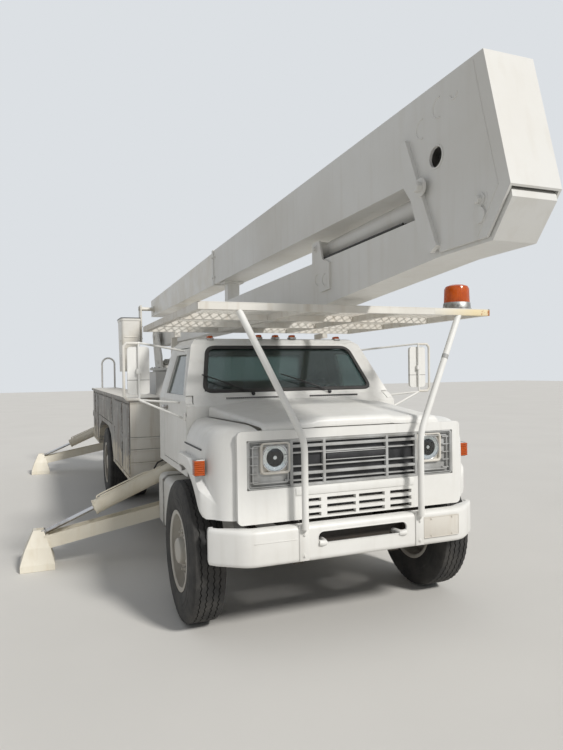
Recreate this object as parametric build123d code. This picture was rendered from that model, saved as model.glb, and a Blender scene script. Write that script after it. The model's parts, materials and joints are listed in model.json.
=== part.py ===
from build123d import *
import math
import os

# A long-nosed truck with a two-part folding boom, two buckets and four fold-down stands.
# Millimetres. X points to the truck's left, Y to its rear, Z up.
# Places are given from the front axle's centre line and the ground. At the end every piece is
# moved along Y, so that the origin lies on the ground under the middle of the whole truck.

# Fits
SEAT = 0.3              # gap left between two pieces that lie against each other
RUNNING = 0.05          # radial play of a pin in its hole
PANEL_GAP = 8           # gap round a door or a lid
MOVING_GAP = 10         # gap beside a piece that swings

# Running gear
WHEELBASE = 4950
TRACK = 2030            # between the front tyres' centres
TYRE_RADIUS = 525
TYRE_WIDTH = 262
TYRE_SHOULDER = 34
RIM_RADIUS = 286
RIM_LIP = 14
DUAL_SPACING = 312      # between the two tyres of a rear pair
REAR_TRACK = 1840       # between the middles of the rear pairs
STUB_RADIUS = 38
KINGPIN_RADIUS = 22
KINGPIN_X = 860
AXLE_BEAM = 90
FORK_HALF = 137         # half-height of the steering knuckle's fork
FORK_EAR = 66
LEAF_WIDTH = 76
LEAF_PACK = 70

# Frame
RAIL_OUTSIDE = 430      # half the width over the rails
RAIL_DEPTH = 254
RAIL_FLANGE = 76
RAIL_WALL = 12
RAIL_TOP = 950
RAIL_FRONT = -640
RAIL_REAR = 7900

# Front end
BUMPER_Y = -823
BUMPER_BOTTOM = 585
BUMPER_TOP = 829
BUMPER_KINK = 835       # half-width of the bumper's straight face
BUMPER_END = 1061
BUMPER_END_Y = -606
BUMPER_WALL = 14
SLOT_HALF = 345
SLOT_Z = 739
SLOT_HEIGHT = 74
FACE_Y = -731           # front of the grille surround
FACE_HALF = 882
FACE_BOTTOM = 985
FACE_TOP = 1520
GRILLE_HALF = 816
GRILLE_BOTTOM = 1075
GRILLE_TOP = 1405
LAMP_X = 610
LAMP_Z = 1282
LAMP_RADIUS = 92
BEZEL_HALF = 112
TUBE_RADIUS = 23        # the guard tubes in front of the grille
TUBE_X = 453
TUBE_BEND_Z = 1406
TUBE_TOP_X = 865
TUBE_Y = -800

# Cab
CAB_HALF = 975
CAB_BACK = 1588
CAB_FLOOR = 1010
COWL_Y = 436
COWL_Z = 1662
SCREEN_BOTTOM_HALF = 813
SCREEN_TOP_HALF = 695
SCREEN_TOP_Y = 767
SCREEN_TOP_Z = 2117
ROOF_Z = 2183
CAB_WALL = 40
SILL_Z = 1015
BELT_Z = 1625
DOOR_FRONT = 385
DOOR_REAR = 1330
PILLAR_HALF = 835       # half-width of the cab at the roof's edge
HOOD_FRONT_HALF = 705
HOOD_REAR_HALF = 800
HOOD_FRONT_Z = 1530
HOOD_REAR_Y = 330
HOOD_REAR_Z = 1618
HOOD_WALL = 22
HOOD_HINGE_Y = HOOD_REAR_Y - 20
HOOD_HINGE_Z = HOOD_REAR_Z - 60
HOOD_LUG_X = 405
HOOD_PIN = 7
FENDER_HALF = 1091
FENDER_WALL = 16
ARCH_RADIUS = 640

# Rack over the cab
RACK_OVERHANG = 49      # the rack's side beyond the fender's
RACK_HALF = FENDER_HALF + RACK_OVERHANG
RACK_FRONT = -779
RACK_REAR = 1503
RACK_TOP = 2310
RACK_BEAM = 44
RACK_POST_Y = 1680

# Service body
BODY_HALF = 1232
BODY_FRONT = 2077
BODY_REAR = 7185
BODY_TOP = 1594
BODY_BOTTOM = 697
BIN_DEPTH = 450
DECK_Z = 1100
DECK_THICK = 40
BODY_ARCH_HALF = 1130
BODY_ARCH_TOP = 1120

# Pedestal, turret and booms
TURRET_Y = 5900
PEDESTAL_HALF = 330
PEDESTAL_TOP = 1880
TURNTABLE_RADIUS = 370
TURNTABLE_Z = 1900
TURNTABLE_THICK = 40
CHEEK_X = 200           # inner face of the turret's side plates
CHEEK_WALL = 30
PIVOT_Y = 6250          # the lower boom's pivot
PIVOT_Z = 2480
PIVOT_PIN = 45
LOWER_HALF = 128
LOWER_TOP_FRONT = 2690
LOWER_TOP_REAR = 2630
LOWER_BOTTOM = 2335
LOWER_NOSE_BOTTOM = 2448
LOWER_NOSE_Y = -2215
ELBOW_Y = -2243
ELBOW_Z = 2580
ELBOW_PIN = 40
UPPER_HALF = 147
UPPER_WALL = 13
UPPER_TOP = 3335
UPPER_BOTTOM = 2880
TIP_HALF = 112
TIP_Y = 7247
STEEL_END_Y = 2560      # where the steel of the upper boom ends and the insulated part begins

# Buckets
BUCKET_Y = 6960
BUCKET_PIVOT_Z = 3050
BUCKET_INNER_X = 400
BUCKET_WIDTH = 350
BUCKET_LENGTH = 600
BUCKET_TOP = 2850
BUCKET_HEIGHT = 960
BUCKET_WALL = 10

# Stands
STAND_YS = (1794, 7785)
FOOT_X = 2137
FOOT_HALF = 155
FOOT_HEIGHT = 366
STAND_ROOT_X = 560
STAND_ROOT_Z = 520
STAND_TIP_Z = 250
LEG_HALF = 70           # half-width of the leg at its root
LEG_DEPTH = 128
LEG_WALL = 10
TROUGH_HALF = 86        # half-width where the leg is an open trough
TROUGH_START = 320      # from the root pin to the wide part
STAND_PIN = 26
JACK_ROOT_X = 700
JACK_ROOT_Z = 915
JACK_RADIUS = 70
JACK_ROD = 22


# Helpers
def block(x0, x1, y0, y1, z0, z1):
    """A box from its low and high faces."""
    size = Box(x1 - x0, y1 - y0, z1 - z0)
    return Pos((x0 + x1) / 2, (y0 + y1) / 2, (z0 + z1) / 2) * size


def side_shape(points, x0, x1):
    """A solid from an outline of (y, z) points, between two places on X."""
    face = make_face(Polyline(*[(0, y, z) for y, z in points], close=True))
    return Pos(x0, 0, 0) * extrude(face, amount=x1 - x0, dir=(1, 0, 0))


def front_shape(points, y0, y1):
    """A solid from an outline of (x, z) points, between two places on Y."""
    face = make_face(Polyline(*[(x, 0, z) for x, z in points], close=True))
    return Pos(0, y0, 0) * extrude(face, amount=y1 - y0, dir=(0, 1, 0))


def top_shape(points, z0, z1):
    """A solid from an outline of (x, y) points, between two heights."""
    face = make_face(Polyline(*[(x, y, 0) for x, y in points], close=True))
    return Pos(0, 0, z0) * extrude(face, amount=z1 - z0, dir=(0, 0, 1))


def bar(start, end, radius):
    """A round bar from one point to another."""
    low, high = Vector(*start), Vector(*end)
    run = high - low
    plane = Plane(origin=low, z_dir=run.normalized())
    return extrude(plane * Circle(radius), amount=run.length)


def beam(start, end, width, depth, side=(1, 0, 0)):
    """A straight box beam between two points; side gives the direction of its width."""
    low, high = Vector(*start), Vector(*end)
    run = high - low
    plane = Plane(origin=low, x_dir=side, z_dir=run.normalized())
    return extrude(plane * Rectangle(width, depth), amount=run.length)


def x_pin(y, z, x0, x1, radius):
    """A round pin along X."""
    return bar((x0, y, z), (x1, y, z), radius)


def mirrored(shape):
    """The same piece on the truck's other side."""
    return mirror(shape, about=Plane.YZ)


def both_sides(shape):
    """A piece and its mirror image, as separate solids."""
    return Compound(children=[*solids_of(shape), *solids_of(mirrored(shape))])


def solids_of(shape):
    """The solids in a shape, cleaned of old parents."""
    return [Solid(s.wrapped) for s in shape.solids()]


def joined(*shapes):
    """One shape from pieces that overlap."""
    total = shapes[0]
    for shape in shapes[1:]:
        total = total + shape
    return total


def loose(*shapes):
    """Pieces that don't touch, kept in one node."""
    return Compound(children=[s for shape in shapes for s in solids_of(shape)])


# Frame and running gear
def rail():
    """One channel-section rail, open towards the middle."""
    inside = RAIL_OUTSIDE - RAIL_FLANGE
    bottom = RAIL_TOP - RAIL_DEPTH
    outer = block(inside, RAIL_OUTSIDE, RAIL_FRONT, RAIL_REAR, bottom, RAIL_TOP)
    hollow = block(inside, RAIL_OUTSIDE - RAIL_WALL, RAIL_FRONT, RAIL_REAR,
                   bottom + RAIL_WALL, RAIL_TOP - RAIL_WALL)
    return outer - hollow


HITCH_Z = 760
HITCH_SPACING_X = 85.7      # the usual four-hole pattern of a tow hook
HITCH_SPACING_Z = 44.5
HITCH_HOLE = 13.5
PANEL_DEPTH = 38            # of the face round the grille
CAB_MOUNT_YS = (460, 1420)
CROSS_MEMBERS = (-560, 1450, 2600, 3700, 5250, 6600, 7500)   # their places on Y


def frame():
    """Both rails, the members across them, and the bumper's brackets."""
    pieces = [rail(), mirrored(rail())]
    half = RAIL_OUTSIDE - RAIL_WALL
    for y in CROSS_MEMBERS:
        pieces.append(block(-half, half, y - 35, y + 35, RAIL_TOP - 58, RAIL_TOP - RAIL_WALL))
    for side in (-1, 1):
        x = side * (RAIL_OUTSIDE - RAIL_FLANGE / 2)
        pieces.append(block(x - 30, x + 30, BUMPER_Y + BUMPER_WALL + SEAT, RAIL_FRONT + 20,
                            BUMPER_BOTTOM + 40, BUMPER_TOP - 20))
        pieces.append(block(x - 30, x + 30, RAIL_FRONT - 10, RAIL_FRONT + 50,
                            BUMPER_BOTTOM + 40, RAIL_TOP - RAIL_DEPTH + 30))
    plate = block(-RAIL_OUTSIDE, RAIL_OUTSIDE, RAIL_REAR - 12, RAIL_REAR, HITCH_Z - 130, RAIL_TOP)
    for x in (-HITCH_SPACING_X / 2, HITCH_SPACING_X / 2):
        for z in (HITCH_Z - HITCH_SPACING_Z / 2, HITCH_Z + HITCH_SPACING_Z / 2):
            plate = plate - bar((x, RAIL_REAR - 30, z), (x, RAIL_REAR + 20, z), HITCH_HOLE / 2)
    return joined(*pieces, plate, *front_supports())


def front_supports():
    """What stands on the rails under the cab and behind the front panel."""
    inner = RAIL_OUTSIDE - RAIL_FLANGE
    face = FACE_Y + PANEL_DEPTH + SEAT
    pieces = [block(-560, 560, face, face + 42, BUMPER_TOP + 130, GRILLE_BOTTOM - 25)]
    for x0, x1 in ((inner, RAIL_OUTSIDE), (-RAIL_OUTSIDE, -inner)):
        pieces.append(block(x0, x1, face, RAIL_FRONT + 60, RAIL_TOP - 30, GRILLE_BOTTOM - 25))
        for y in CAB_MOUNT_YS:
            pieces.append(block(x0, x1, y - 50, y + 50, RAIL_TOP - 5, CAB_FLOOR - SEAT))
    return pieces


ENGINE_BACK = 320
GEARBOX_BACK = 1250
SHAFT_RADIUS_LONG = 45
SHAFT_START_Z = 850


def engine_block():
    """The engine and gearbox as one plain mass between the rails."""
    engine = block(-270, 270, -480, ENGINE_BACK, 730, 1330)
    gearbox = block(-150, 150, ENGINE_BACK, GEARBOX_BACK, 780, 1000)
    return joined(engine, gearbox)


def leaf_spring(x, y, span, z):
    """A leaf pack: long leaves on top, short ones under them, with its hangers."""
    leaves = 4
    thick = LEAF_PACK / leaves
    pack = None
    for i in range(leaves):
        half = span / 2 * (1 - 0.2 * i)
        leaf = block(x - LEAF_WIDTH / 2, x + LEAF_WIDTH / 2, y - half, y + half,
                     z + LEAF_PACK - (i + 1) * thick, z + LEAF_PACK - i * thick)
        pack = leaf if pack is None else pack + leaf
    top = RAIL_TOP - RAIL_DEPTH - SEAT
    for end in (-1, 1):
        at = y + end * (span / 2 - 30)
        pack = pack + block(x - LEAF_WIDTH / 2, x + LEAF_WIDTH / 2, at - 30, at + 30,
                            z + LEAF_PACK - thick / 2, top)
    return pack


SPRING_X = RAIL_OUTSIDE - RAIL_FLANGE / 2


def front_axle():
    """A dropped beam between two kingpin eyes, under its leaf springs."""
    drop = 120
    z = TYRE_RADIUS - drop
    half = AXLE_BEAM / 2
    middle = block(-SPRING_X - 80, SPRING_X + 80, -half, half, z - half, z + half)
    axle = middle
    for side in (-1, 1):
        arm = beam((side * (SPRING_X + 60), 0, z), (side * KINGPIN_X, 0, TYRE_RADIUS), AXLE_BEAM,
                   AXLE_BEAM, side=(0, 1, 0))
        eye = Pos(side * KINGPIN_X, 0, TYRE_RADIUS) * Cylinder(KINGPIN_RADIUS + 26, 110)
        axle = axle + arm + eye
    for side in (-1, 1):
        axle = axle + leaf_spring(side * SPRING_X, 0, 1150, z + half - 5)
    for side in (-1, 1):
        axle = axle - Pos(side * KINGPIN_X, 0, TYRE_RADIUS) * Cylinder(KINGPIN_RADIUS + RUNNING, 400)
    return axle


def knuckle(side):
    """A fork round the axle's eye, its kingpin and the stub that carries the wheel."""
    x = side * KINGPIN_X
    pin = Pos(x, 0, TYRE_RADIUS) * Cylinder(KINGPIN_RADIUS, 2 * FORK_HALF)
    reach = 62
    fork = None
    for low in (-FORK_HALF, FORK_HALF - FORK_EAR):
        z = TYRE_RADIUS + low
        ear = block(min(x - side * 30, x + side * 100), max(x - side * 30, x + side * 100),
                    -45, 45, z, z + FORK_EAR)
        fork = ear if fork is None else fork + ear
    inner, outer = x + side * reach, x + side * (reach + 38)
    plate = block(min(inner, outer), max(inner, outer), -60, 60, TYRE_RADIUS - FORK_HALF,
                  TYRE_RADIUS + FORK_HALF)
    end = side * (TRACK / 2 + 60)
    stub = x_pin(0, TYRE_RADIUS, min(inner, end), max(inner, end), STUB_RADIUS)
    arm = block(min(x - side * 30, x), max(x - side * 30, x), -240, -40,
                TYRE_RADIUS - FORK_HALF, TYRE_RADIUS - FORK_HALF + 29)
    return joined(fork, pin, plate, stub, arm)


AXLE_NOSE = 330


def rear_axle():
    """A banjo housing between the dual wheels, with its springs and stub ends."""
    reach = REAR_TRACK / 2 + DUAL_SPACING / 2 + 20
    y = WHEELBASE
    tube = x_pin(y, TYRE_RADIUS, -590, 590, 75)
    ends = x_pin(y, TYRE_RADIUS, -reach, reach, STUB_RADIUS)
    banjo = Pos(0, y, TYRE_RADIUS) * Sphere(205)
    nose = bar((0, y - AXLE_NOSE, TYRE_RADIUS), (0, y, TYRE_RADIUS), 80)
    axle = joined(tube, ends, banjo, nose)
    for side in (-1, 1):
        axle = axle + leaf_spring(side * SPRING_X, y, 1350, TYRE_RADIUS + 60)
    return axle


def drive_shaft():
    """The shaft from the gearbox to the rear axle, with a hanger bearing."""
    radius = SHAFT_RADIUS_LONG
    nose_y = WHEELBASE - AXLE_NOSE
    start = (0, GEARBOX_BACK + 30, SHAFT_START_Z)
    hanger = (0, 2900, 800)
    end = (0, nose_y - 30, TYRE_RADIUS)
    front_flange = bar((0, GEARBOX_BACK + SEAT, start[2]), (0, GEARBOX_BACK + 50, start[2]), radius + 30)
    rear_flange = bar((0, nose_y - 50, end[2]), (0, nose_y - SEAT, end[2]), radius + 30)
    shaft = joined(bar(start, hanger, radius), Pos(*hanger) * Sphere(62), bar(hanger, end, radius),
                   front_flange, rear_flange)
    return shaft


def tyre(x):
    """A tyre with a flat tread, round shoulders and a hollow for its rim."""
    half = TYRE_WIDTH / 2
    outer = Rot(0, 90, 0) * Cylinder(TYRE_RADIUS, TYRE_WIDTH)
    outer = fillet(outer.edges().filter_by(GeomType.CIRCLE), TYRE_SHOULDER)
    bore = Rot(0, 90, 0) * Cylinder(RIM_RADIUS, TYRE_WIDTH * 2)
    band = Rot(0, 90, 0) * (Cylinder(TYRE_RADIUS + 5, 16) - Cylinder(TYRE_RADIUS - 12, 16))
    body = outer - bore
    for at in (-half * 0.42, 0, half * 0.42):
        body = body - Pos(at, 0, 0) * band
    return Pos(x, 0, TYRE_RADIUS) * body


def rim(x, side, dish):
    """A pressed steel wheel: its barrel, lips and dished disc. dish moves the disc outwards."""
    width = TYRE_WIDTH - 40
    barrel = Rot(0, 90, 0) * (Cylinder(RIM_RADIUS - SEAT, width) - Cylinder(RIM_RADIUS - 14, width))
    disc_at = side * dish
    disc = Pos(disc_at, 0, 0) * Rot(0, 90, 0) * Cylinder(RIM_RADIUS - 10, 16)
    for i in range(6):
        angle = math.radians(60 * i)
        hole = Rot(0, 90, 0) * Cylinder(34, 80)
        disc = disc - Pos(disc_at, 205 * math.cos(angle), 205 * math.sin(angle)) * hole
    return Pos(x, 0, TYRE_RADIUS) * (barrel + disc)


def hub(x0, x1, radius):
    """A hub round the stub, with its bore for the running fit."""
    return x_pin(0, TYRE_RADIUS, x0, x1, radius) - x_pin(0, TYRE_RADIUS, x0 - 50, x1 + 50,
                                                        STUB_RADIUS + RUNNING)


def front_wheel(side):
    """The rim and hub of one front wheel, at its place."""
    x = side * TRACK / 2
    disc_at = 40
    inner, outer = x + side * -52, x + side * 110
    body = rim(x, side, disc_at) + x_pin(0, TYRE_RADIUS, min(inner, outer), max(inner, outer), 95)
    bore_end = side * (TRACK / 2 + 60 + MOVING_GAP)
    low, high = min(inner - side * 5, bore_end), max(inner - side * 5, bore_end)
    return body - x_pin(0, TYRE_RADIUS, low, high, STUB_RADIUS + RUNNING)


def rear_wheels(side):
    """The two rims of one rear pair, back to back on one hub."""
    middle = side * REAR_TRACK / 2
    outer_x, inner_x = middle + side * DUAL_SPACING / 2, middle - side * DUAL_SPACING / 2
    outer = rim(outer_x, side, -105)
    inner = rim(inner_x, side, 105)
    start, end = inner_x - side * 60, outer_x + side * 95
    core = x_pin(0, TYRE_RADIUS, min(start, end), max(start, end), 110)
    spacer = x_pin(0, TYRE_RADIUS, min(middle - 60, middle + 60), max(middle - 60, middle + 60), 150)
    body = joined(outer, inner, core, spacer)
    reach = side * (REAR_TRACK / 2 + DUAL_SPACING / 2 + 20 + MOVING_GAP)
    low, high = min(start - side * 5, reach), max(start - side * 5, reach)
    body = body - x_pin(0, TYRE_RADIUS, low, high, STUB_RADIUS + RUNNING)
    tube_gap = side * (590 + MOVING_GAP)
    if abs(start) < abs(tube_gap):
        body = body - x_pin(0, TYRE_RADIUS, min(start - side * 5, tube_gap),
                            max(start - side * 5, tube_gap), 75 + MOVING_GAP)
    return Pos(0, WHEELBASE, 0) * body


# Cab
def cab_solid(inset, sides_only=False):
    """The cab's whole outside form, or one set in all round, or only its width and height."""
    side = [(DOOR_FRONT - 45, CAB_FLOOR), (DOOR_FRONT - 45, HOOD_REAR_Z - 33), (COWL_Y, COWL_Z),
            (SCREEN_TOP_Y, SCREEN_TOP_Z), (SCREEN_TOP_Y + 90, ROOF_Z - 16), (1120, ROOF_Z),
            (CAB_BACK - 110, ROOF_Z - 12), (CAB_BACK - 20, ROOF_Z - 70), (CAB_BACK, BELT_Z),
            (CAB_BACK, CAB_FLOOR)]
    front = [(-CAB_HALF, CAB_FLOOR), (-CAB_HALF, BELT_Z), (-PILLAR_HALF, ROOF_Z - 75),
             (-PILLAR_HALF + 55, ROOF_Z - 20), (-600, ROOF_Z), (600, ROOF_Z),
             (PILLAR_HALF - 55, ROOF_Z - 20), (PILLAR_HALF, ROOF_Z - 75), (CAB_HALF, BELT_Z),
             (CAB_HALF, CAB_FLOOR)]
    side_face = make_face(Polyline(*[(0, y, z) for y, z in side], close=True))
    front_face = make_face(Polyline(*[(x, 0, z) for x, z in front], close=True))
    if inset:
        side_face = offset(side_face, amount=-inset, kind=Kind.INTERSECTION)
        front_face = offset(front_face, amount=-inset, kind=Kind.INTERSECTION)
    wide = Pos(-CAB_HALF - 10, 0, 0) * extrude(side_face, amount=2 * CAB_HALF + 20, dir=(1, 0, 0))
    long = extrude(front_face, amount=CAB_BACK + 200, dir=(0, 1, 0))
    return (wide & long) if sides_only is False else long


DOOR_WALL = 56
DOOR_TOP = 2085


def door_outline(inset):
    """The door's outline from the side, set in all round by the given gap."""
    points = [(DOOR_FRONT - 25, SILL_Z + 50), (DOOR_FRONT - 25, BELT_Z), (COWL_Y + 75, COWL_Z + 45),
              (SCREEN_TOP_Y + 30, DOOR_TOP), (DOOR_REAR - 20, DOOR_TOP), (DOOR_REAR + 20, BELT_Z),
              (DOOR_REAR + 20, SILL_Z + 50)]
    face = make_face(Polyline(*[(0, y, z) for y, z in points], close=True))
    if inset:
        face = offset(face, amount=-inset, kind=Kind.INTERSECTION)
    return face


def window_outline(inset):
    """The door window's outline from the side."""
    points = [(COWL_Y + 90, BELT_Z + 45), (COWL_Y + 125, BELT_Z + 85), (SCREEN_TOP_Y + 70, DOOR_TOP - 60),
              (DOOR_REAR - 75, DOOR_TOP - 60), (DOOR_REAR - 50, BELT_Z + 45)]
    face = make_face(Polyline(*[(0, y, z) for y, z in points], close=True))
    if inset:
        face = offset(face, amount=-inset, kind=Kind.INTERSECTION)
    return face


def side_cut(face, inner=600, outer=1200):
    """A cutter through one side of the cab."""
    return Pos(inner, 0, 0) * extrude(face, amount=outer - inner, dir=(1, 0, 0))


def screen_opening(inset):
    """The windscreen's opening, cut from the front."""
    low, high = COWL_Z + 38 + inset, SCREEN_TOP_Z - 34 - inset
    points = [(-SCREEN_BOTTOM_HALF + 20 + inset, low), (-SCREEN_TOP_HALF + inset, high),
              (SCREEN_TOP_HALF - inset, high), (SCREEN_BOTTOM_HALF - 20 - inset, low)]
    return front_shape(points, 300, SCREEN_TOP_Y + 90)


REAR_WINDOW = (560, 1700, 2030)     # half-width, bottom and top


def cab_body():
    """The cab's shell: floor, firewall, pillars, roof and back wall, with openings and hinges."""
    shell = cab_solid(0) - cab_solid(CAB_WALL)
    opening = side_cut(door_outline(0)) - cab_solid(DOOR_WALL + PANEL_GAP, sides_only=True)
    half, low, high = REAR_WINDOW
    shell = shell - opening - mirrored(opening) - screen_opening(0)
    shell = shell - block(-half, half, CAB_BACK - 200, CAB_BACK + 20, low, high)
    lug = block(HOOD_LUG_X + 35, HOOD_LUG_X + 53, HOOD_HINGE_Y - 12, DOOR_FRONT - 40,
                HOOD_HINGE_Z - 16, HOOD_HINGE_Z + 14)
    pin = x_pin(HOOD_HINGE_Y, HOOD_HINGE_Z, HOOD_LUG_X - 2, HOOD_LUG_X + 53, HOOD_PIN)
    hinges = [joined(lug, pin)] + [cab_hinge(z) for z in HINGE_ZS]
    return joined(shell, *hinges, *[mirrored(piece) for piece in hinges])


HINGE_X = CAB_HALF + 15     # the door hinges' axis
HINGE_Y = DOOR_FRONT - 21
HINGE_ZS = (1190, 1500)
HINGE_EYE = 12
HINGE_PIN = 6


def hinge_eye(low, high, radius):
    """A round piece on the door hinges' axis."""
    return bar((HINGE_X, HINGE_Y, low), (HINGE_X, HINGE_Y, high), radius)


def cab_hinge(z):
    """The cab's half of one door hinge, with its pin."""
    leaf = block(CAB_HALF - 1, CAB_HALF + 9, DOOR_FRONT - 42, DOOR_FRONT - 26, z - 30, z)
    return joined(leaf, hinge_eye(z - 30, z, HINGE_EYE), hinge_eye(z - 30, z + 32, HINGE_PIN))


def door_hinge(z):
    """The door's half of one hinge, before its bore is cut."""
    leaf = block(CAB_HALF - 1, CAB_HALF + 9, DOOR_FRONT - 16, DOOR_FRONT + 20, z + SEAT, z + 30)
    return joined(leaf, hinge_eye(z + SEAT, z + 30, HINGE_EYE))


def cab_glass():
    """The windscreen and the rear window, as panes in their openings."""
    pane = (cab_solid(12) - cab_solid(19)) & screen_opening(SEAT)
    half, low, high = REAR_WINDOW
    rear = (cab_solid(12) - cab_solid(19)) & block(-half + SEAT, half - SEAT, CAB_BACK - 200,
                                                 CAB_BACK + 20, low + SEAT, high - SEAT)
    return loose(pane, rear)


MIRROR_X = 1335
MIRROR_Y = 500
MIRROR_HALF = 88
MIRROR_LOW = 1690
MIRROR_HIGH = 2080
MIRROR_TUBE = 9


def mirror_frame():
    """The left door's mirror: a flat head in a tube hoop on two arms."""
    head = block(MIRROR_X - MIRROR_HALF, MIRROR_X + MIRROR_HALF, MIRROR_Y - 14, MIRROR_Y + 14,
                 MIRROR_LOW, MIRROR_HIGH)
    head = fillet(head.edges().filter_by(Axis.Y), 30)
    y = MIRROR_Y - 30
    post_x = MIRROR_X
    low, high = MIRROR_LOW - 45, MIRROR_HIGH + 30
    root_x = CAB_HALF - 14
    low_root, high_root = (root_x, 640, BELT_Z - 20), (CAB_HALF - 108, 900, DOOR_TOP - 28)
    hoop = joined(bar((post_x, y, low), (post_x, y, high), MIRROR_TUBE),
                  Pos(post_x, y, low) * Sphere(MIRROR_TUBE),
                  Pos(post_x, y, high) * Sphere(MIRROR_TUBE),
                  bar((post_x, y, low), low_root, MIRROR_TUBE),
                  bar((post_x, y, high), high_root, MIRROR_TUBE),
                  bar((post_x, y, low), (root_x, 470, BELT_Z - 150), MIRROR_TUBE))
    clamp = block(post_x - 20, post_x + 20, y - 14, MIRROR_Y - 10, 1860, 1900)
    return joined(hoop, clamp, head)


def door_left():
    """One door at whole thickness, its window cut, with its handle and mirror."""
    skin = cab_solid(0) - cab_solid(DOOR_WALL, sides_only=True)
    panel = skin & side_cut(door_outline(PANEL_GAP))
    panel = panel - side_cut(window_outline(0))
    handle = block(CAB_HALF - 5, CAB_HALF + 28, DOOR_REAR - 150, DOOR_REAR - 30, 1500, 1528)
    panel = joined(panel, handle, mirror_frame(), *[door_hinge(z) for z in HINGE_ZS])
    for z in HINGE_ZS:
        panel = panel - hinge_eye(z - 5, z + 40, HINGE_PIN + RUNNING)
    return panel


def door_glass_left():
    """The pane of one door's window."""
    skin = cab_solid(20, sides_only=True) - cab_solid(26, sides_only=True)
    return skin & side_cut(window_outline(SEAT))


def cab_interior():
    """The bench seat, the dashboard and the steering wheel on its column."""
    floor = CAB_FLOOR + CAB_WALL + SEAT
    half = CAB_HALF - 130
    cushion = block(-half, half, 980, 1400, floor, floor + 330)
    back = side_shape([(1330, floor + 250), (1400, floor), (1500, floor), (1500, 1740), (1420, 1760)],
                      -half, half)
    dash = side_shape([(385, 1360), (385, 1562), (470, 1618), (600, 1560), (600, 1400)],
                      -CAB_HALF + 110, CAB_HALF - 110)
    wheel_at = (430, 770, 1560)
    column = bar((430, 560, 1400), wheel_at, 26)
    plane = Plane(origin=wheel_at, z_dir=(0, 0.8, 0.6))
    ring = plane * Torus(215, 13)
    spokes = plane * Box(410, 34, 12)
    cowl_side = block(-60, 60, 385, 470, floor, 1400)
    return joined(dash, column, ring, spokes, cushion, back, cowl_side)


# Front end
def hood_section(y, half, edge_z, crown_z, skirt):
    """One bent cross-section of the hood, open below."""
    w = HOOD_WALL
    outer = [(-half, edge_z - skirt), (-half, edge_z), (-half * 0.62, crown_z), (half * 0.62, crown_z),
             (half, edge_z), (half, edge_z - skirt)]
    inner = [(half - w, edge_z - skirt), (half - w, edge_z - w), (half * 0.62 - 4, crown_z - w),
             (-half * 0.62 + 4, crown_z - w), (-half + w, edge_z - w), (-half + w, edge_z - skirt)]
    return make_face(Polyline(*[(x, y, z) for x, z in outer + inner], close=True))


HOOD_SECTIONS = (       # y, half-width, edge height, crown height, depth of the side fold
    (FACE_Y + 12, HOOD_FRONT_HALF - 12, HOOD_FRONT_Z - 22, HOOD_FRONT_Z - 12, 32),
    (FACE_Y + 60, HOOD_FRONT_HALF, HOOD_FRONT_Z - 8, HOOD_FRONT_Z + 8, 45),
    (HOOD_REAR_Y - 12, HOOD_REAR_HALF, HOOD_REAR_Z - 34, HOOD_REAR_Z, 62),
)


def hood():
    """The hood panel, folded down along its sides and front."""
    faces = [hood_section(*row) for row in HOOD_SECTIONS]
    panel = loft(faces, ruled=True)
    half = HOOD_FRONT_HALF - 12
    front = block(-half, half, FACE_Y + 12, FACE_Y + 26, FACE_TOP - 48, FACE_TOP - 8)
    body = joined(panel, front)
    for x0, x1 in ((HOOD_LUG_X, HOOD_LUG_X + 30), (-HOOD_LUG_X - 30, -HOOD_LUG_X)):
        web = block(x0, x1, HOOD_HINGE_Y - 12, HOOD_HINGE_Y + 2, HOOD_HINGE_Z, HOOD_HINGE_Z + 42)
        body = joined(body, web, x_pin(HOOD_HINGE_Y, HOOD_HINGE_Z, x0, x1, HOOD_PIN + 7))
        body = body - x_pin(HOOD_HINGE_Y, HOOD_HINGE_Z, x0 - 5, x1 + 5, HOOD_PIN + RUNNING)
    return body


def fender_plan(inset):
    """A fender's outline from above: rounded off at the front, narrow at the cowl."""
    front, rear = FACE_Y + PANEL_DEPTH + SEAT, DOOR_FRONT - 45 - SEAT
    points = [(HOOD_FRONT_HALF + 14, front), (FACE_HALF - 4, front), (1040, -618), (FENDER_HALF, -500),
              (FENDER_HALF, 150), (1000, rear), (HOOD_REAR_HALF + 14, rear)]
    face = make_face(Polyline(*[(x, y, 0) for x, y in points], close=True))
    if inset:
        face = offset(face, amount=-inset, kind=Kind.INTERSECTION)
    return face


def fender_front(inset):
    """A fender's outline from the front: a flat top that falls to a rounded shoulder."""
    points = [(HOOD_FRONT_HALF - 20, 600), (HOOD_FRONT_HALF - 20, 1500), (HOOD_REAR_HALF + 40, 1490),
              (1030, 1405), (1075, 1340), (FENDER_HALF, 1240), (FENDER_HALF, 600)]
    face = make_face(Polyline(*[(x, 0, z) for x, z in points], close=True))
    if inset:
        face = offset(face, amount=-inset, kind=Kind.INTERSECTION)
    return face


def fender_form(inset):
    """The fender's outside form as a solid, or one set in by its wall."""
    tall = Pos(0, 0, 500) * extrude(fender_plan(inset), amount=1200, dir=(0, 0, 1))
    long = Pos(0, -900, 0) * extrude(fender_front(inset), amount=1400, dir=(0, 1, 0))
    return tall & long


def fender():
    """One front fender: a thin shell with its wheel arch cut and a rolled lip round it."""
    shell = fender_form(0) - fender_form(FENDER_WALL)
    keep = block(0, 1300, -900, 600, BUMPER_TOP + 45, 1600)
    arch = Pos(1000, 0, TYRE_RADIUS) * Rot(0, 90, 0) * Cylinder(ARCH_RADIUS, 900)
    lip = Pos(FENDER_HALF - 25, 0, TYRE_RADIUS) * Rot(0, 90, 0) * (
        Cylinder(ARCH_RADIUS + 28, 50) - Cylinder(ARCH_RADIUS, 60))
    lip = lip & block(0, 1300, -430, DOOR_FRONT - 70, BUMPER_TOP + 200, 1600)
    return joined((shell & keep) - arch, lip)


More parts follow.
